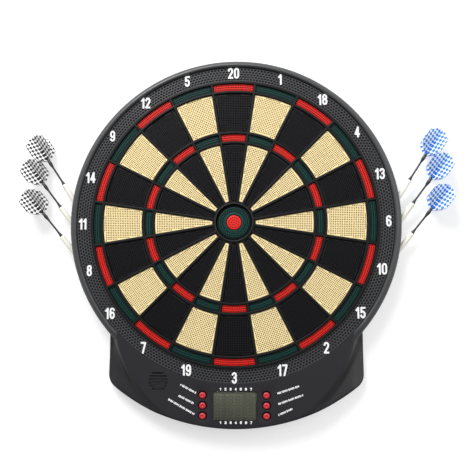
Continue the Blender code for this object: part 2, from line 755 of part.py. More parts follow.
def wing_outline():
    """One pair of wings. They stop at the sleeve beside the shaft, and meet on the axis beyond its end."""
    start, end = FLIGHT_SPAN
    half, root = FLIGHT_HALF_WIDTH, sum(SLEEVE_RADII) / 2
    beyond = SLEEVE_SPAN[1] - 0.5 * MM
    right = [
        (0, beyond),
        (root, beyond),
        (root, start + 1.2 * MM),
        (3 * MM, start),
        (half - 0.8 * MM, start + 9.4 * MM),
        (half, start + 11.5 * MM),
        (half, end - 11 * MM),
        (half - 1.6 * MM, end - 8.6 * MM),
        (10 * MM, end - 4.2 * MM),
        (2.5 * MM, end),
    ]
    left = [(-x, z) for x, z in right[1:]][::-1]
    return right + left


def build_flight(name, film, axis):
    """Two pairs of wings that cross at right angles, joined by a sleeve that slides onto the shaft."""
    half_thick = FLIGHT_THICKNESS / 2
    wings = [plate(wing_outline(), -half_thick, half_thick, "wings") for _ in range(2)]
    for turn, pair in zip(WING_TURNS, wings):
        pair.transform(Matrix.Rotation(turn, 4, "Z"))
    flight = place(name, wings[0], film, parent=axis)
    bpy.context.view_layer.update()
    combine(flight, "UNION", "wings", wings[1])
    (inner, outer), (low, high) = SLEEVE_RADII, SLEEVE_SPAN
    sleeve = [(inner, low), (outer, low), (outer, high), (inner, high)]
    off_facet = Matrix.Rotation(math.radians(6), 4, "Z")
    combine(flight, "UNION", "sleeve", turned("sleeve", sleeve, 12, off_facet, closed=True))


def build_darts(shaft_plastic, flight_films):
    """Each dart is a turned body, from tip to shaft, and a flight of four wings."""
    start, end = BARREL_SPAN
    neck, collar = 1.1 * MM, 2.2 * MM
    profile = [
        (0, DART_TIP),
        (0.9 * MM, DART_TIP + 3 * MM),
        (1.4 * MM, start - 3 * MM),
        (BARREL_RADIUS, start),
        (BARREL_RADIUS, end),
        (1.9 * MM, end + 1 * MM),
        (neck, end + 6 * MM),
        (neck, 49 * MM),
        (collar, 55.5 * MM),
        (neck, 62 * MM),
        (neck, SHAFT_END),
        (0, SHAFT_END),
    ]
    body = turned("dart", profile, 10, Matrix.Identity(4))
    for side, film, first in ((-1, flight_films[0], 1), (1, flight_films[1], 4)):
        for index in range(len(DART_RISES)):
            number = first + index
            axis = bpy.data.objects.new(f"dart_{number}_axis", None)
            bpy.context.scene.collection.objects.link(axis)
            axis.matrix_world = dart_matrix(index, side)
            place(f"dart_{number}", body, shaft_plastic, parent=axis)
            build_flight(f"dart_{number}_flight", film, axis)


# ---------------------------------------------------------------- the whole board


def build():
    for thing in list(bpy.data.objects):
        bpy.data.objects.remove(thing, do_unlink=True)
    case = material("case_plastic", (0.028, 0.028, 0.031), 0.45)
    cover_rear = material("rear_plastic", (0.022, 0.022, 0.024), 0.55)
    web = material("spider_plastic", (0.012, 0.012, 0.013), 0.4)
    build_front_cover(case)
    build_rear_cover(cover_rear)
    build_battery_door(cover_rear)
    build_screws(material("screw_steel", (0.55, 0.55, 0.56), 0.35, 1.0))
    build_spider(web)
    dark = material("black_segment", (0.012, 0.012, 0.013), 0.4)
    light = material("cream_segment", (0.78, 0.62, 0.36), 0.45)
    build_inserts(dark, light)
    build_bull(material("green_bull", (0.01, 0.09, 0.06), 0.4), material("red_bull", (0.7, 0.02, 0.02), 0.4))
    build_target_stack(
        material("membrane_film", (0.75, 0.72, 0.6), 0.3),
        material("foam", (0.25, 0.25, 0.26), 0.9),
        material("fibreboard", (0.36, 0.22, 0.12), 0.8),
    )
    build_electronics(
        material("circuit_board", (0.02, 0.18, 0.07), 0.4),
        material("lcd_glass", (0.13, 0.14, 0.1), 0.2),
        material("clear_window", (0.8, 0.82, 0.8), 0.05),
        material("silicone", (0.4, 0.4, 0.4), 0.7),
        material("speaker_metal", (0.3, 0.3, 0.31), 0.4, 0.8),
    )
    build_buttons(material("red_button", (0.7, 0.02, 0.03), 0.35))
    jacket = material("battery_jacket", (0.05, 0.05, 0.06), 0.3)
    build_batteries(jacket, material("contact_steel", (0.7, 0.7, 0.7), 0.3, 1.0))
    black_film = material("black_check_film", (0.6, 0.6, 0.6), 0.4)
    blue_film = material("blue_check_film", (0.3, 0.45, 0.8), 0.4)
    build_darts(material("dart_plastic", (0.6, 0.58, 0.48), 0.35), (black_film, blue_film))


build()
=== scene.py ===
"""Looks of the electronic dartboard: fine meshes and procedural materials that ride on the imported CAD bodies.

Same frame as the CAD: metres, +Z up, the board faces -Y, and the bull's axis meets the wall at the origin.
"""

import math

import bmesh
import bpy
from mathutils import Matrix, Vector
from mathutils.geometry import delaunay_2d_cdt


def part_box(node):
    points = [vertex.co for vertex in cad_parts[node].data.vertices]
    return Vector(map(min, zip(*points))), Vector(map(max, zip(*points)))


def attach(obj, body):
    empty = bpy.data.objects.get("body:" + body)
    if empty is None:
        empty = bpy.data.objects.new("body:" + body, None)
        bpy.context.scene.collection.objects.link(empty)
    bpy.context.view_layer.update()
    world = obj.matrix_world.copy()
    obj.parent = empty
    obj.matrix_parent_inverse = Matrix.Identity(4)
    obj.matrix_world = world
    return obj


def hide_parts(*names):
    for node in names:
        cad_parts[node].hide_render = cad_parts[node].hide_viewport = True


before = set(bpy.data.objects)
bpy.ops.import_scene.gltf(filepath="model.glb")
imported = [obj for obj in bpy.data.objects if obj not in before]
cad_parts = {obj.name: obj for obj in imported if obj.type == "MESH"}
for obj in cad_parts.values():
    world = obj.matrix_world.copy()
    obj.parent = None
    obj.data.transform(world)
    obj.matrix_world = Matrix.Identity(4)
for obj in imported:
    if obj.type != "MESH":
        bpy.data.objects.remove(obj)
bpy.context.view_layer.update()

MM = 0.001
LEAST_RADIUS = 0.01 * MM
WELD_DISTANCE = 0.02 * MM
NEARNESS = 0.0001 * MM

# ---------------------------------------------------------------- dimensions shared with the CAD

NUMBERS = (20, 1, 18, 4, 13, 6, 10, 15, 2, 17, 3, 19, 7, 16, 8, 11, 14, 9, 12, 5)
SECTOR = math.tau / len(NUMBERS)
RINGS = {
    "inner_single": (26.1 * MM, 95.6 * MM),
    "triple": (99.6 * MM, 107.7 * MM),
    "outer_single": (111.9 * MM, 158.4 * MM),
    "double": (162.4 * MM, 170.3 * MM),
}
SPIDER_RINGS = ((96.1, 99.1), (108.2, 111.4), (158.9, 161.9), (170.8, 174.2))
SPIDER_HALF_WALL = 1.5 * MM
SEGMENT_CLEAR = 2.0 * MM
HUB_RADII = (21.8 * MM, 23.8 * MM)
BULL_HOLE = 9.4 * MM
TARGET_FACE = -25 * MM
PIT_PITCH = 2.1 * MM
RIM_RADIUS = 200 * MM
CATCH_RADII = (174.6 * MM, 190.8 * MM)
CATCH_FRONT = -24.6 * MM
PANEL_FRONT = -26 * MM
CONSOLE_HALF_WIDTH = 153 * MM
CONSOLE_RADIUS = 243.5 * MM
CONSOLE_FILLET = 18 * MM
CONSOLE_TOP = -117 * MM
CREASE_CENTRE_Z = -105 * MM
CREASE_RADIUS = 144 * MM
CREASE_WIDTH = 11 * MM
REAR_EDGE = -0.4 * MM
SPEAKER_CENTRE = (-90.3 * MM, -187.9 * MM)
GRILLE_RADIUS = 12 * MM
DISPLAY_OPENING = (51.4 * MM, 33.4 * MM)
BUTTONS = range(1, 7)
PANEL_TOP = 190.9 * MM
DART_ENTRY_RADIUS = 200.5 * MM
DART_ENTRY_ANGLES = (8.7, 0.8, -9.4)
DART_RISES = (56.7, 53.5, 51.2)
DART_DEPTH = -13.5 * MM
DART_LEANS = (2, 4.3, 4.3)
SLEEVE_RADII = (1.35 * MM, 1.75 * MM)
SLEEVE_SPAN = (62.4 * MM, 79 * MM)

# ---------------------------------------------------------------- meshes


def blank():
    return [], []


def add(part, verts, faces):
    start = len(part[0])
    part[0].extend(verts)
    part[1].extend([[start + i for i in face] for face in faces])


def append_row(verts, points):
    """Adds the points to verts, and gives their numbers."""
    start = len(verts)
    verts.extend(points)
    return list(range(start, len(verts)))


def in_mm(pairs, base=0.0):
    """(radius, depth) pairs in millimetres as metres; the depth is measured from base."""
    return [(a * MM, base + b * MM) for a, b in pairs]


def bridge(first, second, closed=True):
    """Quads between two rows of vertex numbers."""
    count = len(first)
    steps = range(count) if closed else range(count - 1)
    return [(first[i], first[(i + 1) % count], second[(i + 1) % count], second[i]) for i in steps]


def stack_rows(rows, close_ends=True):
    """A body from rows of points: neighbours are bridged, and the first and last rows are filled."""
    verts = [p for row in rows for p in row]
    size = len(rows[0])
    index = [list(range(k * size, (k + 1) * size)) for k in range(len(rows))]
    faces = [f for a, b in zip(index, index[1:]) for f in bridge(a, b)]
    if close_ends:
        faces += [index[0][::-1], index[-1]]
    return verts, faces


def about_y(radius, height, angle):
    return (radius * math.cos(angle), height, radius * math.sin(angle))


def about_z(radius, height, angle):
    return (radius * math.cos(angle), radius * math.sin(angle), height)


def turned(profile, steps, place=about_y, closed=False):
    """A (radius, height) profile spun about an axis; an open profile is capped at both ends."""
    angles = [math.tau * i / steps for i in range(steps)]
    rows = [[place(max(r, LEAST_RADIUS), h, a) for a in angles] for r, h in profile]
    if closed:
        rows.append(rows[0])
    return stack_rows(rows, close_ends=not closed)


def arc(centre, radius, start, end, steps):
    angles = [start + (end - start) * i / steps for i in range(steps + 1)]
    return [(centre[0] + radius * math.cos(a), centre[1] + radius * math.sin(a)) for a in angles]


def circle(centre, radius, steps):
    return arc(centre, radius, 0, math.tau, steps)[:-1]


def rings(profile, steps):
    """Circles about the bull's axis, one for each (radius, y) of the profile."""
    return [(circle((0, 0), radius, steps), y) for radius, y in profile]


def rounded_rectangle(centre, size, corner, steps=4):
    x, z = centre
    half_x, half_z = size[0] / 2 - corner, size[1] / 2 - corner
    points = []
    for k, (sx, sz) in enumerate(((1, 1), (-1, 1), (-1, -1), (1, -1))):
        start = k * math.pi / 2
        points += arc((x + sx * half_x, z + sz * half_z), corner, start, start + math.pi / 2, steps)
    return points


def shrunk(outline, distance):
    """The outline moved inwards by a distance, for an anticlockwise loop."""
    moved = []
    for i, (x, z) in enumerate(outline):
        before, after = outline[i - 1], outline[(i + 1) % len(outline)]
        tx, tz = after[0] - before[0], after[1] - before[1]
        length = math.hypot(tx, tz)
        moved.append((x - tz / length * distance, z + tx / length * distance))
    return moved


def slab(outline, front, rear, edge=0.0):
    """A plate with its front edge rounded by edge."""
    rows = []
    for angle in (0, math.pi / 6, math.pi / 3) if edge else ():
        inset, drop = edge * (1 - math.sin(angle)), edge * (1 - math.cos(angle))
        rows.append([(x, front + drop, z) for x, z in shrunk(outline, inset)])
    rows.append([(x, front + edge, z) for x, z in outline])
    rows.append([(x, rear, z) for x, z in outline])
    return stack_rows(rows)


def anticlockwise(numbers, loop):
    """The loop's point numbers in anticlockwise order."""
    area = sum(x0 * z1 - x1 * z0 for (x0, z0), (x1, z1) in zip(loop, loop[1:] + loop[:1]))
    return numbers if area > 0 else numbers[::-1]


def triangulated(loops, lines=(), extra=()):
    """Triangles inside the first (x, z) loop and outside the others, and where each loop's points went."""
    points, faces, oriented, edges = [], [], [], []
    for loop in loops:
        faces.append(append_row(points, loop))
        oriented.append(anticlockwise(faces[-1], loop))
    for line in lines:
        row = append_row(points, line)
        edges += zip(row, row[1:])
    points = [Vector(p) for p in points + list(extra)]
    flat, _, tris, origin, _, owner = delaunay_2d_cdt(points, edges, oriented, 1, NEARNESS)
    found = {}
    for here, came_from in enumerate(origin):
        for source in came_from:
            found[source] = here
    kept = [list(tri) for tri, of in zip(tris, owner) if list(of) == [0]]
    used = sorted({i for tri in kept for i in tri})
    number = {old: new for new, old in enumerate(used)}
    kept = [[number[i] for i in tri] for tri in kept]
    where = [[number[found[i]] for i in face] for face in faces]
    return [tuple(flat[i]) for i in used], kept, where


def united(loops):
    """Triangles inside any of the overlapping (x, z) loops."""
    points, faces = [], []
    for loop in loops:
        faces.append(anticlockwise(append_row(points, loop), loop))
    points = [Vector(p) for p in points]
    flat, _, tris, _, _, owner = delaunay_2d_cdt(points, [], faces, 1, NEARNESS)
    return [tuple(p) for p in flat], [list(tri) for tri, of in zip(tris, owner) if of]


def thickened(flat, tris, thickness):
    """A plate from flat triangles, with its front at y = 0 and walls along the open edges."""
    count = len(flat)
    verts = [(x, y, z) for y in (0, thickness) for x, z in flat]
    sides = {pair for tri in tris for pair in zip(tri, tri[1:] + tri[:1])}
    walls = [(a, b, b + count, a + count) for a, b in sorted(sides) if (b, a) not in sides]
    return verts, tris + [[i + count for i in tri[::-1]] for tri in tris] + walls


def pit_loop(pit, share, steps):
    """A pit's outline: an ellipse, turned, with its size multiplied by share."""
    x, z, across, along, turn = pit
    cos, sin = math.cos(turn), math.sin(turn)
    loop = []
    for i in range(steps):
        a = math.tau * (i + 0.5) / steps
        u, v = across * share * math.cos(a), along * share * math.sin(a)
        loop.append((x + u * cos - v * sin, z + u * sin + v * cos))
    return loop


def pierced(outer_rows, inner_rows, pits, front, depth, floor_share=0.85, steps=6):
    """A block whose flat front is pierced by blind pits.

    outer_rows and inner_rows are (outline, y) from the front face backwards; both end at the block's rear.
    floor_share is the width of a pit's floor as a share of its mouth.
    """
    loops = [outer_rows[0][0]] + ([inner_rows[0][0]] if inner_rows else [])
    first_pit = len(loops)
    loops += [pit_loop(pit, 1.0, steps) for pit in pits]
    flat, faces, where = triangulated(loops)
    verts = [(x, front, z) for x, z in flat]
    ends = []
    for rows, last in zip((outer_rows, inner_rows), where):
        if not rows:
            continue
        for outline, y in rows[1:]:
            row = append_row(verts, [(x, y, z) for x, z in outline])
            faces += bridge(last, row)
            last = row
        ends.append(last)
    if len(ends) == 1:
        faces.append(ends[0])
    else:
        _, rear_tris, rear_where = triangulated([outer_rows[-1][0], inner_rows[-1][0]])
        number = {}
        for loop, end in zip(rear_where, ends):
            number.update(zip(loop, end))
        faces += [[number[i] for i in tri] for tri in rear_tris]
    for pit, top in zip(pits, where[first_pit:]):
        floor = append_row(verts, [(x, front + depth, z) for x, z in pit_loop(pit, floor_share, steps)])
        faces += bridge(top, floor) + [floor]
    return verts, faces


def joined(*parts):
    whole = blank()
    for verts, faces in parts:
        add(whole, verts, faces)
    return whole


def moved(part, matrix):
    return [tuple(matrix @ Vector(p)) for p in part[0]], part[1]


def make_mesh(name, part, sharp=35, closed=True, weld=False):
    bm = bmesh.new()
    verts = [bm.verts.new(p) for p in part[0]]
    for face in part[1]:
        corners = list(dict.fromkeys(verts[i] for i in face))
        if len(corners) > 2:
            try:
                bm.faces.new(corners)
            except ValueError:
                pass
    if weld:
        bmesh.ops.remove_doubles(bm, verts=bm.verts, dist=WELD_DISTANCE)
    if closed:
        bmesh.ops.recalc_face_normals(bm, faces=bm.faces)
    mesh = bpy.data.meshes.new(name)
    bm.to_mesh(mesh)
    bm.free()
    local = mesh.attributes.new("local_place", "FLOAT_VECTOR", "POINT")
    local.data.foreach_set("vector", [c for v in mesh.vertices for c in v.co])
    mesh.shade_smooth()
    mesh.set_sharp_from_angle(angle=math.radians(sharp))
    return mesh


def placed(name, data):
    thing = bpy.data.objects.new(name, data)
    bpy.context.scene.collection.objects.link(thing)
    return thing


def piece(name, mesh, body, finish, slot, stands_for=(), matrix=None):
    """One visible piece: it rides on a body, takes a finish, and may stand for CAD nodes."""
    thing = placed(name, mesh)
    if not mesh.materials:
        mesh.materials.append(FINISH[finish])
    thing.material_slots[0].link = "OBJECT"
    thing.material_slots[0].material = FINISH[finish]
    if matrix is not None:
        thing.matrix_world = matrix
    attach(thing, body)
    if stands_for:
        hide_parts(*stands_for)
    return thing


def combine(target, operation, name, part):
    """Adds or cuts away a part that isn't itself shown."""
    hidden = f"{target.name}_{name}"
    other = placed(hidden, make_mesh(hidden, part))
    other.hide_render = True
    other.hide_viewport = True
    other.display_type = "WIRE"
    modifier = target.modifiers.new(name, "BOOLEAN")
    modifier.operation = operation
    modifier.solver = "EXACT"
    modifier.object = other


# ---------------------------------------------------------------- materials


# Values between which a broad and a fine noise lie for the most part
NOISE_SPAN = (0.3, 0.7)
GRAIN_SPAN = (0.35, 0.75)


class Nodes:
    """Builds the shader nodes of one material, or of the world."""

    def __init__(self, owner):
        owner.use_nodes = True
        self.owner = owner
        self.tree = owner.node_tree

    def node(self, kind, feeds=None, **settings):
        made = self.tree.nodes.new(kind)
        for key, value in settings.items():
            setattr(made, key, value)
        self.feed(made, feeds or {})
        return made

    def feed(self, target, feeds):
        for key, value in feeds.items():
            socket = target.inputs[key]
            if isinstance(value, bpy.types.NodeSocket):
                self.tree.links.new(value, socket)
            else:
                socket.default_value = value

    def place(self):
        return self.node("ShaderNodeNewGeometry").outputs["Position"]

    def split(self, vector):
        """The X, Y and Z of a vector."""
        return self.node("ShaderNodeSeparateXYZ", {"Vector": vector}).outputs

    def local(self):
        """The X, Y and Z of the place in its own mesh's frame."""
        return self.split(self.node("ShaderNodeAttribute", attribute_name="local_place").outputs["Vector"])

    def noise(self, size, detail=3.0, roughness=0.55):
        """Noise whose blobs are about size metres wide."""
        feeds = {"Vector": self.place(), "Scale": 1 / size, "Detail": detail, "Roughness": roughness}
        return self.node("ShaderNodeTexNoise", feeds).outputs["Fac"]

    def remap(self, value, low, high, to_low, to_high):
        feeds = {"Value": value, "From Min": low, "From Max": high, "To Min": to_low, "To Max": to_high}
        return self.node("ShaderNodeMapRange", feeds).outputs["Result"]

    def mix(self, value, low, high, first, second, most=1.0):
        """The first colour at low, passing to the second at high; most is the second's largest share."""
        share = self.remap(value, low, high, 0, most)
        return self.node("ShaderNodeMix", {0: share, 6: first, 7: second}, data_type="RGBA").outputs[2]

    def maths(self, operation, first, second=0.0):
        return self.node("ShaderNodeMath", {0: first, 1: second}, operation=operation).outputs[0]

    def vector(self, operation, first, second=(0, 0, 0)):
        made = self.node("ShaderNodeVectorMath", {0: first, 1: second}, operation=operation)
        return made.outputs["Value" if operation in ("LENGTH", "DISTANCE") else "Vector"]

    def bump(self, height, strength, distance):
        feeds = {"Height": height, "Strength": strength, "Distance": distance}
        return self.node("ShaderNodeBump", feeds).outputs[0]

    def surface(self, colour, roughness, bump=None, specular=0.5, metallic=0.0):
        """Plastic, paint or metal with this colour; gives the material."""
        feeds = {"Base Color": colour, "Roughness": roughness}
        feeds.update({"Specular IOR Level": specular, "Metallic": metallic})
        if bump is not None:
            feeds["Normal"] = bump
        self.feed(self.tree.nodes["Principled BSDF"], feeds)
        return self.owner

    def closure(self, whole):
        """A shader of its own in place of the plastic one; gives the material."""
        self.tree.nodes.remove(self.tree.nodes["Principled BSDF"])
        self.tree.links.new(whole.outputs[0], self.tree.nodes["Material Output"].inputs["Surface"])
        return self.owner


def new_material(name):
    return Nodes(bpy.data.materials.new(name))


def rgba(colour, gain=1.0):
    return (*[min(1.0, c * gain) for c in colour], 1)


def middle_of(name):
    low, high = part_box(name)
    return (low + high) / 2


def moulded(name, colour, roughness, grain, height, mottle, specular, cloud=22, deep=None):
    """Moulded plastic: fine spark-eroded grain, faint mottling and patches rubbed smoother by handling.

    grain, height and cloud are in millimetres. deep is (face, gain): painted shade, in which the colour sinks
    by gain just behind the face, down in the holes that pierce it.
    """
    make = new_material(name)
    broad = make.noise(cloud * MM)
    fine = make.noise(grain * MM, 2.0)
    tone = make.mix(broad, *NOISE_SPAN, rgba(colour, 1 - mottle), rgba(colour, 1 + mottle))
    tone = make.mix(fine, *GRAIN_SPAN, tone, rgba(colour, 1 + 2.2 * mottle), 0.35)
    # Painted shade: from 0.1 mm to 0.8 mm behind the face the colour darkens, and pale colours also turn
    # browner.
    if deep:
        face, gain = deep
        shade = [c**2 for c in colour] if max(colour) > 0.5 else colour
        tone = make.mix(make.local()["Y"], face + 0.1 * MM, face + 0.8 * MM, tone, rgba(shade, gain))
    rough = make.remap(broad, *NOISE_SPAN, roughness + 0.05, roughness - 0.05)
    return make.surface(tone, rough, make.bump(fine, 0.35, height * MM), specular)


def painted(name, colour, roughness=0.5):
    """Pad-printed ink with slightly uneven cover."""
    make = new_material(name)
    cover = make.noise(0.6 * MM, 4.0)
    tone = make.mix(cover, *NOISE_SPAN, rgba(colour, 0.9), rgba(colour))
    return make.surface(tone, roughness, make.bump(cover, 0.2, 0.01 * MM))


def steel(name, colour):
    """Plated steel with fine scratches and faint stains."""
    make = new_material(name)
    scratch = make.noise(0.5 * MM, 5.0, 0.7)
    tone = make.mix(make.noise(6 * MM), *NOISE_SPAN, rgba(colour, 0.82), rgba(colour, 1.05))
    rough = make.remap(scratch, *NOISE_SPAN, 0.22, 0.40)
    return make.surface(tone, rough, make.bump(scratch, 0.15, 0.01 * MM), metallic=1.0)


def console_material():
    """Grey-black panel with a fine grain; the wings outside its creases are painted darker as shade, and a dark
    ring at each button is painted shade.
    """
    make = new_material("console_black_painted_shade")
    from_crease = make.vector("SUBTRACT", make.place(), (0, 0, CREASE_CENTRE_Z))
    flat = make.vector("MULTIPLY", from_crease, (1, 0, 1))
    radius = make.vector("LENGTH", flat)
    broad = make.noise(22 * MM)
    fine = make.noise(0.3 * MM, 2.0)
    tone = make.mix(broad, *NOISE_SPAN, (0.0125, 0.0115, 0.0152, 1), (0.0160, 0.0149, 0.0188, 1))
    # Painted shade: the wings outside the creases take a darker black, though they are the same plastic as the
    # panel.
    edge = CREASE_RADIUS - 0.5 * MM
    tone = make.mix(radius, edge, edge + 3 * MM, tone, (0.0080, 0.0078, 0.0093, 1))
    tone = make.mix(fine, *GRAIN_SPAN, tone, (0.019, 0.018, 0.022, 1), 0.35)
    # Painted shade: a dark reddish ring round each button hole, for the shade in its recess.
    from_button = 1.0
    for number in BUTTONS:
        middle = middle_of(f"button_{number}")
        away = make.vector("DISTANCE", flat, (middle.x, 0, middle.z - CREASE_CENTRE_Z))
        from_button = make.maths("MINIMUM", away, from_button)
    tone = make.mix(from_button, 5.0 * MM, 6.1 * MM, (0.0050, 0.0010, 0.0012, 1), tone)
    rough = make.remap(broad, *NOISE_SPAN, 0.46, 0.38)
    return make.surface(tone, rough, make.bump(fine, 0.35, 0.02 * MM), specular=0.42)


def button_material():
    """Red cap: a deep red middle, a paler shoulder that is a painted highlight and a dark side that is painted
    shade, with fine wear all over.
    """
    make = new_material("button_red_gloss")
    local = make.local()
    across, up = (make.maths("POWER", local[axis], 2.0) for axis in "XZ")
    radius = make.maths("SQRT", make.maths("ADD", across, up))
    wear = make.noise(1.2 * MM)
    # Painted highlight: the shoulder beyond 2.9 mm is paler and pinker.
    tone = make.mix(radius, 1.7 * MM, 2.9 * MM, (0.60, 0.001, 0.009, 1), (0.46, 0.045, 0.06, 1))
    # Painted shade: the cap's side beyond 3.55 mm is almost black.
    tone = make.mix(radius, 3.55 * MM, 3.95 * MM, tone, (0.08, 0.002, 0.004, 1))
    tone = make.mix(wear, 0.45, 0.8, tone, (0.5, 0.03, 0.04, 1), 0.2)
    return make.surface(tone, make.remap(wear, *NOISE_SPAN, 0.32, 0.46))


def check_material(name, ink, faded_ink, paper):
    """Printed film: a check of small squares that stand on their corners, in line with the dart."""
    make = new_material(name)
    local = make.local()
    flat = make.node("ShaderNodeCombineXYZ", {"X": local["X"], "Y": local["Y"]}).outputs[0]
    waves = []
    for value in (make.vector("LENGTH", flat), local["Z"]):
        waves.append(make.maths("COSINE", make.maths("MULTIPLY", value, math.tau / (4.9 * MM))))
    cloud = make.noise(9 * MM)
    fleck = make.noise(0.4 * MM, 3.0)
    solid = make.mix(cloud, 0.4, 0.6, rgba(ink), rgba(faded_ink))
    solid = make.mix(fleck, 0.55, 0.8, solid, rgba(ink, 1.6), 0.3)
    tone = make.mix(make.maths("SUBTRACT", waves[1], waves[0]), -0.05, 0.13, rgba(paper), solid)
    return make.surface(tone, 0.38, make.bump(fleck, 0.1, 0.01 * MM))


def display_material():
    """Unlit liquid-crystal glass, grey-green and faintly cloudy."""
    make = new_material("display_grey_green")
    cloud = make.noise(14 * MM)
    tone = make.mix(cloud, *NOISE_SPAN, (0.190, 0.184, 0.128, 1), (0.222, 0.215, 0.152, 1))
    return make.surface(tone, make.remap(cloud, *NOISE_SPAN, 0.3, 0.4))


def window_material():
    """Clear acrylic: what lies behind shows through, with a soft reflection and faint dust."""
    make = new_material("window_acrylic")
    dust = make.noise(0.8 * MM, 4.0)
    clear = make.node("ShaderNodeBsdfTransparent", {"Color": (0.93, 0.95, 0.93, 1)}).outputs[0]
    gloss = make.node("ShaderNodeBsdfGlossy", {"Color": (1, 1, 1, 1), "Roughness": 0.12}).outputs[0]
    veil = make.node("ShaderNodeBsdfDiffuse", {"Color": (0.5, 0.5, 0.5, 1)}).outputs[0]
    fresnel = make.node("ShaderNodeFresnel", {"IOR": 1.4}).outputs[0]
    shine = make.node("ShaderNodeMixShader", {0: fresnel, 1: clear, 2: gloss}).outputs[0]
    share = make.remap(dust, 0.5, 0.9, 0.0, 0.08)
    return make.closure(make.node("ShaderNodeMixShader", {0: share, 1: shine, 2: veil}))


def board_material():
    """Green circuit board with a woven look and copper showing faintly through the mask."""
    make = new_material("circuit_mask")
    feeds = {"Vector": make.place(), "Scale": 420.0, "Mortar Size": 0.03}
    weave = make.node("ShaderNodeTexBrick", feeds).outputs["Fac"]
    tone = make.mix(make.noise(4 * MM), 0.45, 0.55, (0.01, 0.11, 0.035, 1), (0.02, 0.17, 0.05, 1))
    return make.surface(make.mix(weave, 0, 1, tone, (0.05, 0.19, 0.06, 1)), 0.35)


def cell_material(name, colour, cell):
    """Open foam or pressed chips, with cells about cell millimetres wide."""
    make = new_material(name)
    feeds = {"Vector": make.place(), "Scale": 1 / (cell * MM)}
    cells = make.node("ShaderNodeTexVoronoi", feeds).outputs["Distance"]
    tone = make.mix(cells, 0.1, 0.6, rgba(colour, 0.6), rgba(colour, 1.1))
    return make.surface(tone, 0.9, make.bump(cells, 0.6, 0.2 * MM))


def battery_material():
    """Printed jacket: a dark body with a pale band at each end."""
    make = new_material("cell_jacket")
    from_middle = make.maths("ABSOLUTE", make.split(make.place())["X"])
    body = make.mix(make.noise(3 * MM), *NOISE_SPAN, (0.02, 0.03, 0.05, 1), (0.03, 0.045, 0.07, 1))
    return make.surface(make.mix(from_middle, 13 * MM, 13.3 * MM, body, (0.45, 0.45, 0.42, 1)), 0.3)


SPIDER_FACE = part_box("spider")[0].y
FINISH = {
    "console": console_material(),
    "rear": moulded("rear_textured_black", (0.015, 0.015, 0.017), 0.55, 0.45, 0.05, 0.15, 0.4),
    # The rim is the same black plastic as the console but is coloured lighter: a painted highlight on the bead.
    "rim": moulded("rim_black_painted_highlight", (0.040, 0.041, 0.043), 0.42, 0.30, 0.02, 0.10, 0.6),
    # The catch ring is the same black plastic as the console but is coloured lighter: painted sheen on its
    # pitted face. Its last argument paints shade in the pits.
    "catch": moulded(
        "catch_ring_black_painted_sheen", (0.052, 0.0525, 0.058), 0.36, 0.30, 0.02, 0.10, 0.6, deep=(CATCH_FRONT, 0.12)
    ),
    # Painted shade: the spider darkens on its wall sides, behind its front face.
    "spider": moulded(
        "spider_black", (0.0160, 0.0164, 0.0175), 0.42, 0.25, 0.015, 0.10, 0.22, deep=(SPIDER_FACE, 0.34)
    ),
    # The last argument of the four segment finishes paints shade in the pinholes. On the bull it also paints
    # shade in the pits and on the sunken outer band.
    "black": moulded(
        "segment_black", (0.0046, 0.0046, 0.0062), 0.5, 0.30, 0.02, 0.12, 0.21, 12, (TARGET_FACE, 0.2)
    ),
    "cream": moulded("segment_cream", (0.99, 0.80, 0.42), 0.5, 0.35, 0.02, 0.02, 0.3, 15, (TARGET_FACE, 0.5)),
    "red": moulded("segment_red", (0.70, 0.017, 0.011), 0.45, 0.30, 0.02, 0.06, 0.3, 12, (TARGET_FACE, 0.35)),
    "green": moulded(
        "segment_green", (0.0055, 0.040, 0.035), 0.45, 0.30, 0.02, 0.10, 0.22, 12, (TARGET_FACE, 0.15)
    ),
    "white_ink": painted("white_ink", (0.94, 0.94, 0.94)),
    "steel": steel("zinc_steel", (0.56, 0.56, 0.55)),
    "ivory": moulded("barrel_ivory", (0.96, 0.94, 0.84), 0.3, 0.25, 0.01, 0.04, 0.5, 9),
    "stem": moulded("stem_charcoal", (0.022, 0.022, 0.024), 0.35, 0.25, 0.01, 0.10, 0.5, 9),
    "tip": moulded("tip_black", (0.012, 0.012, 0.013), 0.4, 0.25, 0.01, 0.10, 0.5, 9),
    "check_black": check_material(
        "flight_check_black", (0.012, 0.012, 0.014), (0.03, 0.03, 0.034), (0.90, 0.90, 0.90)
    ),
    "check_blue": check_material(
        "flight_check_blue", (0.02, 0.17, 0.80), (0.07, 0.22, 0.62), (0.80, 0.93, 1.0)
    ),
    "button": button_material(),
    "display": display_material(),
    "display_ink": painted("display_ghost_ink", (0.100, 0.098, 0.070), 0.35),
    "window": window_material(),
    "circuit": board_material(),
    "film": painted("membrane_film", (0.30, 0.33, 0.34), 0.3),
    "foam": cell_material("foam_open_cell", (0.10, 0.10, 0.11), 0.9),
    "fibre": cell_material("fibreboard_chips", (0.36, 0.24, 0.13), 2.4),
    "rubber": moulded("silicone_grey", (0.20, 0.20, 0.21), 0.6, 0.4, 0.02, 0.08, 0.35),
    "paper_cone": moulded("speaker_cone", (0.05, 0.05, 0.055), 0.65, 0.5, 0.04, 0.2, 0.3),
    "jacket": battery_material(),
}

# ---------------------------------------------------------------- target


def turn_to(index):
    """Turns a shape from the top sector to the one with this index, clockwise as the player sees it."""
    return Matrix.Rotation(index * SECTOR, 4, "Y")


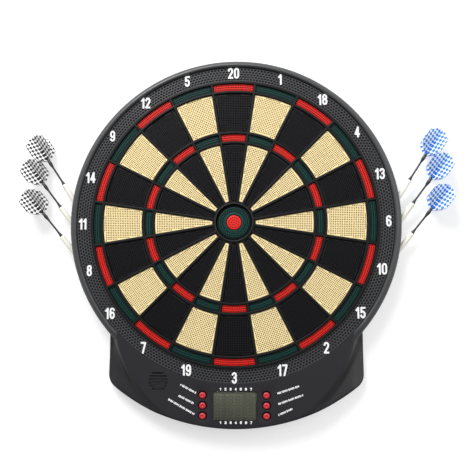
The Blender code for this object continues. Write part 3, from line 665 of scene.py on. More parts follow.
def wedge(ring, inset, flare=0.0):
    """Outline of one segment, centred on +Z, anticlockwise; flare moves it outwards instead."""
    inner, outer = RINGS[ring]
    inner, outer = inner + inset - flare, outer - inset + flare
    clear = SEGMENT_CLEAR + inset - flare
    points = []
    for radius, sign in ((inner, 1), (outer, -1)):
        half = SECTOR / 2 - math.asin(clear / radius)
        steps = 6 if radius < 60 * MM else 14
        points += arc((0, 0), radius, math.pi / 2 + sign * half, math.pi / 2 - sign * half, steps)
    return points


def grid_pits(ring, pitch, radius):
    """Pits in rows square to the segment's centre line."""
    inner, outer = RINGS[ring]
    margin, most_across = radius + 0.4 * MM, 20
    lowest = 0.97 * inner
    pits = []
    for j in range(int((outer - inner) / pitch) + 4):
        z = lowest + j * pitch
        for i in range(-most_across, most_across + 1):
            x = i * pitch
            distance = math.hypot(x, z)
            to_side = distance * math.sin(SECTOR / 2 - math.atan2(abs(x), z)) - SEGMENT_CLEAR
            if to_side > margin and inner + margin < distance < outer - margin:
                pits.append((x, z, radius, radius, 0.0))
    return pits


def arc_pits(ring, pitch, radius, rows):
    """Pits in rows that follow the ring, spread evenly between its chamfered edges."""
    inner, outer = RINGS[ring]
    margin = radius + 0.5 * MM
    pits = []
    for k in range(rows):
        r = inner + margin + (outer - inner - 2 * margin) * k / (rows - 1)
        half = SECTOR / 2 - math.asin((SEGMENT_CLEAR + margin) / r)
        count = max(1, round(2 * half * r / pitch))
        for i in range(count + 1):
            a = math.pi / 2 - half + 2 * half * i / count
            pits.append((r * math.cos(a), r * math.sin(a), radius, radius, a))
    return pits


def segment_mesh(ring):
    """One segment with its pits, and a flange at the back that the spider holds in."""
    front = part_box("insert_20")[0].y
    chamfer, depth, flange, flare = 0.5 * MM, 2.6 * MM, -16.7 * MM, 0.9 * MM
    if ring.endswith("single"):
        pits = grid_pits(ring, PIT_PITCH, 0.92 * MM)
    else:
        pits = arc_pits(ring, PIT_PITCH, 0.95 * MM, 3)
    rows = [
        (wedge(ring, chamfer), front),
        (wedge(ring, 0.3 * chamfer), front + 0.25 * chamfer),
        (wedge(ring, 0), front + chamfer),
        (wedge(ring, 0), flange),
        (wedge(ring, 0, flare), flange),
        (wedge(ring, 0, flare), flange + 1.1 * MM),
    ]
    return make_mesh(f"segment_{ring}", pierced(rows, [], pits, front, depth, 0.9, 4))


def build_segments():
    for ring in RINGS:
        mesh = segment_mesh(ring)
        colours = ("black", "cream") if ring.endswith("single") else ("red", "green")
        for index, number in enumerate(NUMBERS):
            colour, stands_for = colours[index % 2], (f"insert_{number}",)
            body, slot = f"number_{number}", f"segment_{colour}"
            piece(f"{ring}_{number}", mesh, body, colour, slot, stands_for, turn_to(index))


def ring_pits(radius, count, size, steps_turn=0.0):
    pits = []
    for i in range(count):
        a = math.tau * (i + steps_turn) / count
        pits.append((radius * math.cos(a), radius * math.sin(a), size, size, a))
    return pits


def build_bull():
    hole, steps = BULL_HOLE / MM, 72
    low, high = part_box("outer_bull")
    front, rear = low.y, high.y
    # The band from 18.4 mm outwards lies 1.1 mm behind the face, so the green finish paints it dark as painted
    # shade, as it does the pits.
    outer = in_mm([(17.9, 0), (18.2, 0.1), (18.4, 1.1), (20.7, 1.1), (21.1, 1.3), (21.3, 1.8)], front)
    outer += in_mm([(21.3, -1.2), (24, -1.2), (24, 0)], rear)
    inner = in_mm([(11.9, 0), (11.65, -0.35), (11.2, -0.5), (hole + 0.5, -0.5), (hole, 0)], front)
    inner += in_mm([(hole, -17.3), (hole + 2.3, -17.2)]) + in_mm([(hole + 2.3, 0)], rear)
    pits = ring_pits(13.6 * MM, 32, 1.1 * MM) + ring_pits(16.3 * MM, 38, 1.1 * MM, 0.5)
    body = pierced(rings(outer, steps), rings(inner, steps), pits, front, 2.2 * MM, 0.9, 4)
    mesh = make_mesh("outer_bull_ring", body)
    piece("outer_bull_ring", mesh, "outer_bull", "green", "segment_green", ("outer_bull",))

    low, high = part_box("inner_bull")
    front, rear, edge = low.y, high.y, hole - 0.6
    disc = in_mm([(edge - 0.9, 0), (edge - 0.3, 0.3), (edge, 0.9)], front)
    disc += in_mm([(edge, -0.6), (edge + 2.4, -0.6), (edge + 2.4, 0)], rear)
    size = 0.7 * MM
    pits = ring_pits(6.0 * MM, 14, size) + ring_pits(3.2 * MM, 7, size, 0.5) + ring_pits(0, 1, size)
    mesh = make_mesh("inner_bull_disc", pierced(rings(disc, steps), [], pits, front, 2.0 * MM))
    piece("inner_bull_disc", mesh, "inner_bull", "red", "segment_red", ("inner_bull",))


def rounded_wall(half, front, rear, edge):
    """Cross-section of a wall as (offset, y) pairs, with its two front edges rounded."""
    profile = [(-half, rear), (-half, front + edge)]
    for k in range(1, 4):
        a = k * math.pi / 8
        profile.append((-half + edge * (1 - math.cos(a)), front + edge * (1 - math.sin(a))))
    profile.append((-half + edge, front))
    return profile + [(-x, y) for x, y in profile[::-1]]


def square_ring(inner, outer, front, rear, steps):
    return turned([(inner, front), (outer, front), (outer, rear), (inner, rear)], steps, closed=True)


def build_spider():
    """Four ring walls, twenty radial walls, the raised hub ring and two flat rings at its foot and edge."""
    low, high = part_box("spider")
    front, rear, edge = -27 * MM, high.y, 0.7 * MM
    hub_inner, hub_outer = HUB_RADII

    def wall_ring(inner, outer, top, corner, steps):
        middle, half = (inner + outer) / 2, (outer - inner) / 2
        profile = [(middle + x, y) for x, y in rounded_wall(half, top, rear, corner)]
        return turned(profile, steps, closed=True)

    parts = [wall_ring(inner * MM, outer * MM, front, edge, 200) for inner, outer in SPIDER_RINGS]
    parts.append(wall_ring(hub_inner, hub_outer, low.y, 0.8 * MM, 96))
    parts.append(square_ring(hub_outer - 0.6 * MM, hub_outer + 1.7 * MM, -26.3 * MM, rear, 96))
    parts.append(square_ring(172.6 * MM, 178 * MM, -22 * MM, -19 * MM, 160))
    section = rounded_wall(SPIDER_HALF_WALL, front + 0.1 * MM, rear + 0.1 * MM, edge)
    start, end = hub_outer - 0.8 * MM, SPIDER_RINGS[-1][1] * MM - 1.2 * MM
    bar = stack_rows([[(x, y, z) for x, y in section] for z in (start, end)])
    for index in range(len(NUMBERS)):
        parts.append(moved(bar, turn_to(index + 0.5)))
    mesh = make_mesh("spider_grid", joined(*parts), 50)
    piece("spider_grid", mesh, "case", "spider", "spider_black", ("spider",))


# ---------------------------------------------------------------- case


def build_catch_ring():
    inner, outer = CATCH_RADII
    edge, rows, count, steps = 0.6 * MM, 5, 290, 360
    pitch = (outer - inner - 2 * edge) / rows
    pits = []
    for k in range(rows):
        radius = inner + edge + pitch * (k + 0.5)
        for i in range(count):
            a = math.tau * (i + 0.5 * (k % 2)) / count
            pits.append((radius * math.cos(a), radius * math.sin(a), 1.46 * MM, 1.76 * MM, a))
    behind = CATCH_FRONT + 2.2 * MM
    outside = [(outer - 0.1 * MM, CATCH_FRONT), (outer, CATCH_FRONT + 0.2 * MM), (outer, behind)]
    inside = [(inner + 0.3 * MM, CATCH_FRONT), (inner, CATCH_FRONT + 0.4 * MM), (inner, behind)]
    body = pierced(rings(outside, steps), rings(inside, steps), pits, CATCH_FRONT, 1.5 * MM, 0.5, 8)
    piece("catch_ring", make_mesh("catch_ring", body), "case", "catch", "case_black", ("front_cover",))


def smooth_step(value):
    value = min(1.0, max(0.0, value))
    return value * value * (3 - 2 * value)


def crease_angle(rim, crease):
    """Direction from the origin in which the crease's circle cuts the circle of radius rim."""
    drop = (crease**2 - rim**2 - CREASE_CENTRE_Z**2) / (-2 * CREASE_CENTRE_Z)
    return math.asin(drop / rim)


# Radius and depth in millimetres, from the crevice over the bead and the outer side to the wall's inside
RIM_SECTION = (
    (190.3, -22.6), (190.9, -23.0), (191.3, -23.2), (191.7, -24.6), (191.9, -26.4), (192.4, -27.7),
    (193.2, -28.3), (194.2, -28.4), (195.6, -28.0), (197.1, -27.1), (198.5, -25.6), (199.5, -23.6),
    (200.0, -21.2), (199.8, -18.6), (199.2, -16.8), (198.9, -12.0), (198.6, -0.9), (198.1, -0.4),
    (196.9, -0.4), (196.4, -0.9), (196.9, -14.0), (197.4, -20.5), (196.0, -24.6), (193.6, -25.2),
    (192.7, -22.4),
)


def rim_profile(angle):
    """Cross-section of the rim: crevice, bead, outer side and wall.

    The bead sinks under the console's panel, and the wall shrinks to a low lip there, clear of the batteries.
    """
    below_crease = crease_angle(RIM_RADIUS, CREASE_RADIUS) - math.asin(math.sin(angle))
    sink = smooth_step((below_crease + math.radians(6.6)) / math.radians(7.0))
    buried = smooth_step((below_crease - math.radians(3)) / math.radians(3))
    side, bead_top, side_top, lip, shrink = 199.5, -24.0, -23.0, -20.5, 0.95
    rows = []
    for radius, y in RIM_SECTION:
        sunk = max(y, bead_top if radius < side else side_top)
        y += (sunk - y) * sink
        if y > lip:
            y -= shrink * (y - lip) * buried
        rows.append((radius, y))
    return in_mm(rows)


def dart_matrix(index, side):
    """Frame of one stowed dart: local Z points out of its socket, and local X lies along the wall."""
    degrees = (DART_ENTRY_ANGLES[index], DART_RISES[index], DART_LEANS[index])
    angle, rise, lean = (math.radians(v) for v in degrees)
    entry = Vector((side * math.cos(angle), 0, math.sin(angle))) * DART_ENTRY_RADIUS
    entry.y = DART_DEPTH
    outward = Vector((side * math.cos(rise), -math.tan(lean), math.sin(rise))).normalized()
    across = Vector((0, 1, 0)).cross(outward).normalized()
    turn = Matrix((across, outward.cross(across), outward)).transposed()
    return Matrix.Translation(entry) @ turn.to_4x4()


def build_rim():
    steps = 360
    angles = [math.tau * i / steps for i in range(steps)]
    profiles = [rim_profile(a) for a in angles]
    rows = [[about_y(*point, a) for point, a in zip(ring, angles)] for ring in zip(*profiles)]
    rows.append(rows[0])
    mesh = make_mesh("case_rim", stack_rows(rows, close_ends=False), 45, weld=True)
    rim = piece("case_rim", mesh, "case", "rim", "case_black", ("front_cover",))
    blocks, bores = blank(), blank()
    low, high = math.radians(-27), math.radians(7)
    for start, end in ((low, high), (math.pi - high, math.pi - low)):
        outline = arc((0, 0), 197.9 * MM, start, end, 24) + arc((0, 0), 178.6 * MM, end, start, 24)
        add(blocks, *stack_rows([[(x, y, z) for x, z in outline] for y in (-22.6 * MM, -5.5 * MM)]))
    bore = turned(in_mm([(3.45, -60), (3.45, 9)]), 32, about_z)
    for side in (-1, 1):
        for index in range(3):
            add(bores, *moved(bore, dart_matrix(index, side)))
    combine(rim, "UNION", "socket_blocks", blocks)
    combine(rim, "DIFFERENCE", "bores", bores)


def console_outline(inset):
    """The console's edge from the right side's top, down, round the bottom and up the left side."""
    sizes = (CONSOLE_HALF_WIDTH, CONSOLE_RADIUS, CONSOLE_FILLET)
    half_width, bottom, fillet = (size - inset for size in sizes)
    centre_x = half_width - fillet
    centre_z = -math.sqrt((bottom - fillet) ** 2 - centre_x**2)
    turn = math.atan2(centre_z, centre_x)
    side = [(half_width, CONSOLE_TOP + (centre_z - CONSOLE_TOP) * i / 16) for i in range(16)]
    corner = arc((centre_x, centre_z), fillet, 0, turn, 14)
    right = side + corner + arc((0, 0), bottom, turn, -math.pi / 2, 140)[1:]
    return right + [(-x, z) for x, z in right[:-1][::-1]]


def front_y(x, z):
    """Depth of the console's front: a flat panel between two creases, and a hollow wing outside each."""
    radius, side = math.hypot(x, z), abs(x)
    step, blend = 1.3 * MM, 0.6 * MM
    panel = PANEL_FRONT + step * (1 - smooth_step((radius - PANEL_TOP) / blend))
    slope_out, slope_up, shallowest, edge_drop = 0.15, 0.10, -8 * MM, 3.2 * MM
    wing = -20 * MM + slope_out * (side - 100 * MM) + slope_up * (z + 170 * MM)
    wing += edge_drop * smooth_step((side - 134 * MM) / (21 * MM)) ** 2
    wing = min(max(wing, PANEL_FRONT), shallowest)
    from_crease = math.hypot(x, z - CREASE_CENTRE_Z) - CREASE_RADIUS
    return panel + (wing - panel) * smooth_step((from_crease + 1.2 * MM) / CREASE_WIDTH) ** 1.2


def grille_slots(grow):
    """Six slots whose ends follow a circle, widened by grow."""
    pitch, tall, corner = 3.7 * MM, 1.6 * MM, 0.75 * MM
    outlines = []
    for i in range(6):
        offset = (i - 2.5) * pitch
        width = 2 * math.sqrt(GRILLE_RADIUS**2 - offset**2) - 1 * MM + 2 * grow
        centre = (SPEAKER_CENTRE[0], SPEAKER_CENTRE[1] + offset)
        outlines.append(rounded_rectangle(centre, (width, tall + 2 * grow), corner + grow, 3))
    return outlines


def console_holes(grow):
    """Outlines of the display opening, the button holes and the grille slots, widened by grow."""
    middle = middle_of("lcd_window")
    opening = (DISPLAY_OPENING[0] + 2 * grow, DISPLAY_OPENING[1] + 2 * grow)
    holes = [rounded_rectangle((middle.x, middle.z), opening, 1.2 * MM + grow)]
    for number in BUTTONS:
        middle = middle_of(f"button_{number}")
        holes.append(circle((middle.x, middle.z), 4.4 * MM + 2.6 * grow, 40))
    return holes + grille_slots(grow)


def console_front(edge, chamfer):
    """The front face as triangles, edge inside the console's outline and finer at the creases and the bead.

    Also gives the point numbers of the outline, as far as it follows the console's edge, and of each hole.
    """
    border = console_outline(edge)
    meets = math.acos(border[0][0] / PANEL_TOP)
    top = arc((0, 0), PANEL_TOP, math.pi + meets, math.tau - meets, 150)
    lines = []
    for side in (1, -1):
        for distance in (-1.2, -0.6, 0, 0.6, 1.3, 2.1, 3.0, 4.0, 5.0, 6.1, 7.3, 8.6, 10):
            radius = CREASE_RADIUS + distance * MM
            span = arc((0, CREASE_CENTRE_Z), radius, math.radians(-66), math.radians(-12), 90)
            inside = [p for p in span if math.hypot(*p) < CONSOLE_RADIUS - edge - 0.4 * MM]
            lines.append([(side * x, z) for x, z in inside])
    start, end = math.pi + math.radians(40), math.tau - math.radians(40)
    for radius in (191.05, 191.2, 191.35, 191.5, 191.9):
        lines.append(arc((0, 0), radius * MM, start, end, 120))
    extra, pitch = [], 3 * MM
    for i in range(-51, 52):
        for j in range(50):
            x, z = i * pitch, -245 * MM + j * pitch
            outside = math.hypot(x, z - CREASE_CENTRE_Z) - CREASE_RADIUS
            if outside > CREASE_WIDTH and abs(x) < 150 * MM and math.hypot(x, z) < 240 * MM:
                extra.append((x, z))
    loops = [border + top[1:-1]] + console_holes(chamfer)
    flat, faces, where = triangulated(loops, lines, extra)
    verts = [(x, front_y(x, z), z) for x, z in flat]
    return verts, faces, where[0][: len(border)], where[1:]


def build_console():
    """A shell: the front face, a rounded edge, the sides, and a chamfer round each hole."""
    edge, chamfer = 2.2 * MM, 0.45 * MM
    verts, faces, last, holes = console_front(edge, chamfer)
    fronts = [verts[i][1] for i in last]
    for degrees in (22.5, 45, 67.5, 90):
        a = math.radians(degrees)
        ring = console_outline(edge * (1 - math.sin(a)))
        row = append_row(verts, [(x, y + edge * (1 - math.cos(a)), z) for (x, z), y in zip(ring, fronts)])
        faces += bridge(last, row, closed=False)
        last = row
    rear = append_row(verts, [(x, REAR_EDGE, z) for x, z in console_outline(0)])
    faces += bridge(last, rear, closed=False)
    for hole, loop in zip(console_holes(0), holes):
        faces += bridge(loop, append_row(verts, [(x, PANEL_FRONT + chamfer, z) for x, z in hole]))
    mesh = make_mesh("console_shell", (verts, faces), 40, closed=False, weld=True)
    bm = bmesh.new()
    bm.from_mesh(mesh)
    bmesh.ops.recalc_face_normals(bm, faces=bm.faces)
    if sum(f.normal.y * f.calc_area() for f in bm.faces) > 0:
        bmesh.ops.reverse_faces(bm, faces=bm.faces)
    bm.to_mesh(mesh)
    bm.free()
    shell = piece("console_shell", mesh, "case", "console", "case_black", ("front_cover",))
    thick = shell.modifiers.new("wall", "SOLIDIFY")
    thick.thickness = 1.8 * MM
    thick.offset = -1


# ---------------------------------------------------------------- numerals and printed marks


def bow(centre_x, centre_z, radius_x, radius_z, start, end, steps=8):
    angles = [math.radians(start + (end - start) * i / steps) for i in range(steps + 1)]
    return [(centre_x + radius_x * math.cos(a), centre_z + radius_z * math.sin(a)) for a in angles]


SIX = [bow(0.5, 0.3, 0.5, 0.3, 0, 360, 16), [(0, 0.42)] + bow(0.5, 0.77, 0.5, 0.23, 180, 22)]
# Centre lines of the figures' strokes, inside a box from (0, 0) to (1, 1)
FIGURES = {
    "0": [bow(0.5, 0.76, 0.5, 0.24, 0, 180) + bow(0.5, 0.24, 0.5, 0.24, 180, 360) + [(1, 0.76)]],
    "1": [[(-0.15, 0.76), (1, 1), (1, 0)]],
    "2": [bow(0.5, 0.76, 0.5, 0.24, 170, 0) + [(0.97, 0.62), (0, 0), (1, 0)]],
    "3": [bow(0.48, 0.76, 0.48, 0.24, 160, -90) + bow(0.5, 0.27, 0.5, 0.27, 90, -160)],
    "4": [[(0.72, 0), (0.72, 1), (0, 0.28), (1, 0.28)]],
    "5": [[(0.95, 1), (0.1, 1), (0.04, 0.54)] + bow(0.48, 0.31, 0.52, 0.31, 130, -158)],
    "6": SIX,
    "7": [[(0, 1), (1, 1), (0.36, 0)]],
    "8": [bow(0.5, 0.77, 0.45, 0.23, 0, 360, 16), bow(0.5, 0.27, 0.5, 0.27, 0, 360, 16)],
    "9": [[(1 - x, 1 - z) for x, z in path] for path in SIX],
}


def pen(path, width):
    """Outlines that cover a stroke: a box along every step and a disc at every joint. Its ends are square."""
    half, last = width / 2, len(path) - 1
    closed = math.dist(path[0], path[-1]) < 0.01 * width
    shapes = [circle(point, half, 16) for point in path[0 if closed else 1 : -1]]
    for k, ((x0, z0), (x1, z1)) in enumerate(zip(path, path[1:])):
        length = math.dist((x0, z0), (x1, z1))
        along_x, along_z = (x1 - x0) / length * half, (z1 - z0) / length * half
        before = 0 if closed or k > 0 else 1
        after = 0 if closed or k < last - 1 else 1
        x0, z0 = x0 - before * along_x, z0 - before * along_z
        x1, z1 = x1 + after * along_x, z1 + after * along_z
        shapes.append([
            (x0 + along_z, z0 - along_x),
            (x1 + along_z, z1 - along_x),
            (x1 - along_z, z1 + along_x),
            (x0 - along_z, z0 + along_x),
        ])
    return shapes


def figure_part(text, height, width, stroke, thickness):
    """Upright figures as a plate centred on the origin; width is that of one figure, and a 1 is narrower."""
    gap = 0.5 * stroke
    loops, left = [], 0.0
    for figure in text:
        wide = width * (0.62 if figure == "1" else 1)
        for path in FIGURES[figure]:
            inset = [
                (left + stroke / 2 + x * (wide - stroke), stroke / 2 + z * (height - stroke)) for x, z in path
            ]
            loops += pen(inset, stroke)
        left += wide + gap
    flat, tris = united(loops)
    middle = (left - gap) / 2
    return thickened([(x - middle, z - height / 2) for x, z in flat], tris, thickness)


DIAL_FIGURE = {"height": 13.5 * MM, "width": 6.4 * MM, "stroke": 2.15 * MM, "thickness": 1.0 * MM}
SMALL_FIGURE = {"height": 3.2 * MM, "width": 2.5 * MM, "stroke": 0.85 * MM, "thickness": 0.12 * MM}


def build_numbers():
    """Raised white numerals, upright round the catch ring."""
    radius, y = 184.2 * MM, CATCH_FRONT - 0.6 * MM
    whole = blank()
    for index, number in enumerate(NUMBERS):
        angle = index * SECTOR
        digits = figure_part(str(number), **DIAL_FIGURE)
        spot = (radius * math.sin(angle), y, radius * math.cos(angle))
        add(whole, *moved(digits, Matrix.Translation(spot)))
    piece("numbers", make_mesh("numbers", whole, 30, weld=True), "case", "white_ink", "case_black")


def printed_bar(size, corner, thickness, spot, turn=0.0):
    """A thin bar with rounded corners, centred on spot and turned about the line of sight."""
    shape = slab(rounded_rectangle((0, 0), size, corner, 2), 0, thickness)
    return moved(shape, Matrix.Translation(spot) @ Matrix.Rotation(turn, 4, "Y"))


# Both ends of each row of bars, as (x, z) in millimetres
MARK_LINES = (
    ((-63.7, -191.9), (-45.2, -201.7)), ((-65.7, -204.8), (-47.3, -214.1)),
    ((-77.9, -209.0), (-46.8, -226.4)), ((50.4, -202.0), (76.7, -193.2)),
    ((51.5, -214.1), (80.4, -203.6)), ((51.4, -226.7), (67.5, -219.5)),
)


def build_marks():
    """Small printed marks: bars beside the buttons and figures above and below the display."""
    surface = PANEL_FRONT - 0.05 * MM
    widths = (1.3, 1.0, 1.5, 0.9, 1.4, 1.1, 0.8)
    bars = blank()
    for row, (first, last) in enumerate(MARK_LINES):
        slope = math.atan2(last[1] - first[1], last[0] - first[0])
        length = math.dist(first, last)
        along, k = 0.0, row
        while along < length - 0.8:
            width, tall = widths[k % len(widths)], 2.4 if k % 3 else 1.9
            centre = along + width / 2
            x, z = first[0] + centre * math.cos(slope), first[1] + centre * math.sin(slope)
            spot = (x * MM, surface, z * MM)
            add(bars, *printed_bar((width * MM, tall * MM), 0.2 * MM, 0.12 * MM, spot, -slope))
            along += width + (0.42 if k % 5 else 1.1)
            k += 1
    piece("button_marks", make_mesh("button_marks", bars), "case", "white_ink", "case_black")
    figures = blank()
    left, pitch = middle_of("lcd_window").x - 16.9 * MM, 6.0 * MM
    for z in (-197.1, -235.6):
        for i in range(7):
            digit = figure_part(str(i + 1), **SMALL_FIGURE)
            add(figures, *moved(digit, Matrix.Translation((left + i * pitch, surface, z * MM))))
    mesh = make_mesh("display_figures", figures, 30, weld=True)
    piece("display_figures", mesh, "case", "white_ink", "case_black")


# ---------------------------------------------------------------- console fittings


def build_display():
    """A clear window, a grey-green sheet behind it, and the faint lines of unlit figures on the sheet."""
    middle = middle_of("lcd_window")
    front, rear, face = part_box("lcd_window")[0].y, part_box("lcd_panel")[1].y, -23.4 * MM
    opening = [size - 0.6 * MM for size in DISPLAY_OPENING]
    glass = slab(rounded_rectangle((middle.x, middle.z), opening, 1.1 * MM), front, -24.2 * MM, 0.3 * MM)
    mesh = make_mesh("display_window", glass)
    piece("display_window", mesh, "case", "window", "window_clear", ("lcd_window",))
    outline = rounded_rectangle((middle.x, middle.z), (54 * MM, 38 * MM), 0.8 * MM)
    mesh = make_mesh("display_sheet", slab(outline, face, rear, 0.2 * MM))
    piece("display_sheet", mesh, "case", "display", "lcd_glass", ("lcd_panel",))
    ghosts = blank()

    def bar(x, z, width, height):
        spot = (middle.x + x * MM, face - 0.05 * MM, middle.z + z * MM)
        add(ghosts, *printed_bar((width * MM, height * MM), 0.12 * MM, 0.08 * MM, spot))

    thin = 0.55
    for column in range(6):
        for row in range(2):
            x0 = -20.4 + column * 7.6 + (1.2 if column > 2 else 0)
            z0 = 6.9 - row * 13.6
            for z in (z0 + 4.2, z0, z0 - 4.2):
                bar(x0, z, 3.6, thin)
            for x in (x0 - 2.1, x0 + 2.1):
                for z in (z0 + 2.1, z0 - 2.1):
                    bar(x, z, thin, 3.5)
    for x in (-12.6, 10.8):
        bar(x, 0, 0.5, 31)
    for z in (-13.9, 0.1, 13.6):
        bar(0, z, 50, 0.5)
    piece("display_ghosts", make_mesh("display_ghosts", ghosts), "case", "display_ink", "lcd_glass")


def build_buttons():
    low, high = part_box("button_1")
    profile = in_mm([
        (0, 0.55), (0.9, 0.5), (1.35, 0.15), (1.7, 0), (2.3, 0.1), (3.0, 0.5), (3.5, 1.0), (3.85, 1.7),
        (4.0, 2.5),
    ], low.y)
    profile += in_mm([(4.0, -0.8), (5.2, -0.8), (5.2, 0), (0, 0)], high.y)
    mesh = make_mesh("button_cap", turned(profile, 48), 40)
    for number in BUTTONS:
        body = f"button_{number}"
        middle = middle_of(body)
        spot = Matrix.Translation((middle.x, 0, middle.z))
        piece(f"button_cap_{number}", mesh, body, "button", "button_red", (body,), spot)


def build_speaker():
    low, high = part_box("speaker")
    profile = in_mm([
        (0, 2.0), (1.5, 1.9), (3.2, 2.6), (3.4, 3.0), (9.8, 0.8), (10.6, 0.2), (11.4, 0.05), (12.0, 0.5),
        (12.4, 0), (13.6, 0), (13.6, 1.3), (9.0, 5.6), (8, 6),
    ], low.y)
    mesh = make_mesh("speaker_driver", turned(profile + in_mm([(8, 0), (0, 0)], high.y), 64), 30)
    spot = Matrix.Translation((SPEAKER_CENTRE[0], 0, SPEAKER_CENTRE[1]))
    piece("speaker_driver", mesh, "case", "paper_cone", "speaker_metal", ("speaker",), spot)


# ---------------------------------------------------------------- darts


def wing_outline():
    """One wing of a flight: from its root beside the shaft to a blunt side, and back to the axis behind."""
    start, end, half, tail = 60, 97, 17.5, SLEEVE_SPAN[1] / MM - 0.3
    points = [(1.5, start + 1.3), (3, start), (half - 1.4, start + 9.0)]
    points += arc((half - 2.5, start + 11.6), 2.5, math.radians(-40), 0, 3)
    points += arc((half - 4, end - 11.4), 4, 0, math.radians(50), 4)
    points += [(10, end - 4.3), (6, end - 1.9), (2.5, end - 0.4), (0.1, end), (0.1, tail), (1.5, tail)]
    return in_mm(points)


def flight_part():
    """Four thin wings, crossed at right angles, on a sleeve that grips the shaft."""
    thick = 0.18 * MM
    outline = wing_outline()
    rows = []
    for inset, y in ((0.1, -1.0), (0.0, -0.6), (0.0, 0.6), (0.1, 1.0)):
        rows.append([(x, y * thick, z) for x, z in shrunk(outline, inset * MM)])
    wing = stack_rows(rows)
    wings = [moved(wing, Matrix.Rotation((k + 0.5) * math.pi / 2, 4, "Z")) for k in range(4)]
    (inner, outer), (low, high) = SLEEVE_RADII, SLEEVE_SPAN
    sleeve = turned([(inner, low), (outer, low), (outer, high), (inner, high)], 24, about_z, closed=True)
    seam = turned([(0.4 * MM, high - 0.2 * MM), (0.4 * MM, 96 * MM)], 12, about_z)
    return joined(*wings, sleeve, seam)


def grooves(start):
    """Three grooves round the barrel, 1.3 mm apart."""
    starts = [start + 1.3 * k for k in range(3)]
    return [p for z in starts for p in ((3.1, z), (2.85, z + 0.2), (2.85, z + 0.5), (3.1, z + 0.7))]


def build_darts():
    profiles = {
        "barrel": [(1.6, -20.2), (2.7, -20.0), (3.1, -19.4), (3.1, -17)] + grooves(-16.6)
        + [(3.1, -12.0), (3.1, 18.0)] + grooves(18.4) + [(3.1, 23.2), (2.8, 23.9), (1.9, 24.1)],
        "tip": [
            (0.05, -42), (0.35, -41.7), (0.9, -39), (1.1, -32), (1.4, -24), (1.9, -23.6), (2.3, -23.2),
            (2.3, -20.1), (1.2, -20.0),
        ],
        "shaft": [
            (1.2, 24.0), (2.35, 24.0), (2.35, 25.2), (1.9, 25.6), (1.55, 28.0), (1.15, 31), (1.1, 48.5),
            (1.35, 50.5), (1.85, 53), (2.15, 55), (2.2, 56), (2.0, 58), (1.5, 60.5), (1.15, 62), (1.1, 70),
            (1.1, 77.7), (0.8, 78.0),
        ],
    }
    meshes = {}
    for name, profile in profiles.items():
        meshes[name] = make_mesh(f"dart_{name}", turned(in_mm(profile), 40, about_z), 40)
    film = make_mesh("dart_flight", flight_part(), 40)
    finishes = {"barrel": "ivory", "tip": "tip", "shaft": "stem"}
    for side, colour, first in ((-1, "black", 1), (1, "blue", 4)):
        for index in range(3):
            body, matrix = f"dart_{first + index}", dart_matrix(index, side)
            for name, finish in finishes.items():
                piece(f"{body}_{name}", meshes[name], body, finish, "dart_ivory", (body,), matrix)
            node_name = (f"{body}_flight",)
            piece(f"{body}_film", film, body, f"check_{colour}", f"flight_{colour}", node_name, matrix)


# ---------------------------------------------------------------- rear


def build_screws():
    """Pan-head screws with a cross recess and a coarse thread, sunk in the rear cover."""
    low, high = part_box("cover_screw_1")
    top, tip, head = high.y, low.y, (high.x - low.x) / 2 / MM
    cone, turns = 1.2 * MM, 10
    pitch = (top - tip - 3 * MM) / turns
    profile = in_mm([(0, 0), (0.5, 0), (1.15, 1.2)], tip)
    for k in range(turns):
        profile += in_mm([(1.1, 0.1), (1.33, 0.35), (1.1, 0.6)], tip + cone + pitch * k)
    profile += in_mm([
        (1.3, -1), (head - 0.1, -1), (head, -0.8), (head - 0.15, -0.35), (head - 0.6, -0.1), (head - 1.2, 0),
        (0, 0),
    ], top)
    arm, half = 1.6 * MM, 0.38 * MM
    corner = [(half, half), (half, arm), (-half, arm)]
    cross = []
    for _ in range(4):
        cross += corner
        corner = [(-z, x) for x, z in corner]
    recess = slab(cross, top - 0.7 * MM, top + 1 * MM)
    mesh = make_mesh("cover_screw", turned(profile, 32), 30)
    for number in (1, 2, 3):
        node_name = f"cover_screw_{number}"
        middle = middle_of(node_name)
        spot = Matrix.Translation((middle.x, 0, middle.z))
        screw = piece(f"screw_{number}", mesh, "case", "steel", "screw_steel", (node_name,), spot)
        combine(screw, "DIFFERENCE", "recess", moved(recess, spot))


# ---------------------------------------------------------------- carried-over CAD nodes


def dress_cad_nodes():
    """Materials for the CAD nodes that stay as they are, mostly inside the case."""
    finishes = {
        "rear_cover": "rear", "battery_door": "rear", "sensor_membrane": "film", "foam_pad": "foam",
        "backing_board": "fibre", "main_board": "circuit", "keypad_mat": "rubber", "contact_springs": "steel",
        "contact_plate": "steel",
    }
    finishes.update({f"battery_{k}": "jacket" for k in (1, 2, 3)})
    for name, finish in finishes.items():
        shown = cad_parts[name]
        if not shown.material_slots:
            shown.data.materials.append(FINISH[finish])
        for material_slot in shown.material_slots:
            material_slot.link = "OBJECT"
            material_slot.material = FINISH[finish]


# ---------------------------------------------------------------- stage


def backdrop_material():
    """Matt white that only the camera sees, and only from its front: the back of the case stays lit."""
    make = new_material("backdrop_white")
    matt = make.node("ShaderNodeBsdfDiffuse", {"Color": (0.62, 0.62, 0.62, 1)}).outputs[0]
    glow = make.node("ShaderNodeEmission", {"Strength": 0.5}).outputs[0]
    white = make.node("ShaderNodeAddShader", {0: matt, 1: glow}).outputs[0]
    clear = make.node("ShaderNodeBsdfTransparent").outputs[0]
    facing = make.maths("SUBTRACT", 1.0, make.node("ShaderNodeNewGeometry").outputs["Backfacing"])
    camera = make.node("ShaderNodeLightPath").outputs["Is Camera Ray"]
    share = make.maths("MULTIPLY", facing, camera)
    return make.closure(make.node("ShaderNodeMixShader", {0: share, 1: clear, 2: white}))


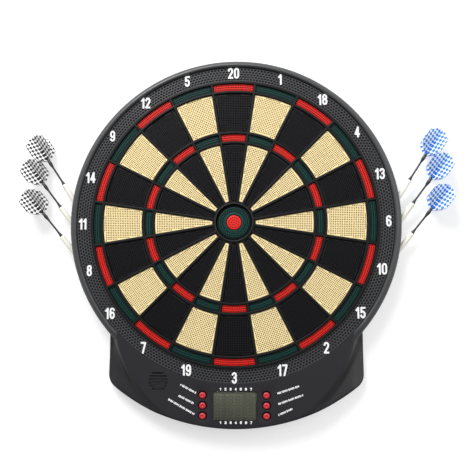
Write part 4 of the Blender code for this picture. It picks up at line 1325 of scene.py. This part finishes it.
def build_stage():
    half, y = 4.0, 0.5 * MM
    verts = [(-half, y, -half), (half, y, -half), (half, y, half), (-half, y, half)]
    mesh = bpy.data.meshes.new("backdrop")
    mesh.from_pydata(verts, [], [(0, 1, 2, 3)])
    mesh.materials.append(backdrop_material())
    placed("backdrop", mesh)


def aim(thing, place, target):
    forward = (Vector(target) - Vector(place)).normalized()
    right = forward.cross(Vector((0, 0, 1))).normalized()
    turn = Matrix((right, right.cross(forward), -forward)).transposed()
    thing.matrix_world = Matrix.Translation(place) @ turn.to_4x4()


def add_lamp(name, place, size, energy):
    data = bpy.data.lights.new(name, "AREA")
    data.shape = "DISK"
    data.size = size
    data.energy = energy
    aim(placed(name, data), place, (0, 0, -0.02))


def build_lights():
    """An even white room, darker ahead of the board and below it, with a key and a fill lamp."""
    scene = bpy.context.scene
    scene.world = bpy.data.worlds.new("studio")
    make = Nodes(scene.world)
    direction = make.split(make.node("ShaderNodeTexCoord").outputs["Generated"])
    ahead = make.remap(direction["Y"], -1.0, -0.2, 0.34, 1.0)
    above = make.remap(direction["Z"], -0.7, 0.3, 0.3, 1.0)
    lit = make.maths("MULTIPLY", make.maths("MULTIPLY", ahead, above), 1.2)
    seen = make.node("ShaderNodeLightPath").outputs["Is Camera Ray"]
    chosen = make.node("ShaderNodeMix", {"Factor": seen, "A": lit, "B": 0.8}, data_type="FLOAT")
    feeds = {"Color": (1, 1, 1, 1), "Strength": chosen.outputs["Result"]}
    make.feed(make.tree.nodes["Background"], feeds)
    add_lamp("key", (-0.55, -1.25, 1.25), 0.9, 27)
    add_lamp("fill", (1.2, -1.3, 0.35), 1.2, 8)


def build_camera():
    """The photo's camera: it looks slightly up from below the centre, and slightly from the right."""
    data = bpy.data.cameras.new("camera")
    data.sensor_width = 36
    data.lens = 54.93
    camera = placed("camera", data)
    right, up = Vector((0.99827, 0.05868, -0.00309)), Vector((0.00889, -0.09880, 0.99507))
    forward = Vector((-0.05809, 0.99338, 0.09915))
    turn = Matrix((right, up, -forward)).transposed()
    camera.matrix_world = Matrix.Translation((0.0540, -0.8863, -0.1036)) @ turn.to_4x4()
    bpy.context.scene.camera = camera
    bpy.context.scene.view_settings.view_transform = "Standard"


build_segments()
build_bull()
build_spider()
build_catch_ring()
build_rim()
build_console()
build_numbers()
build_marks()
build_display()
build_buttons()
build_speaker()
build_darts()
build_screws()
dress_cad_nodes()
build_stage()
build_lights()
build_camera()
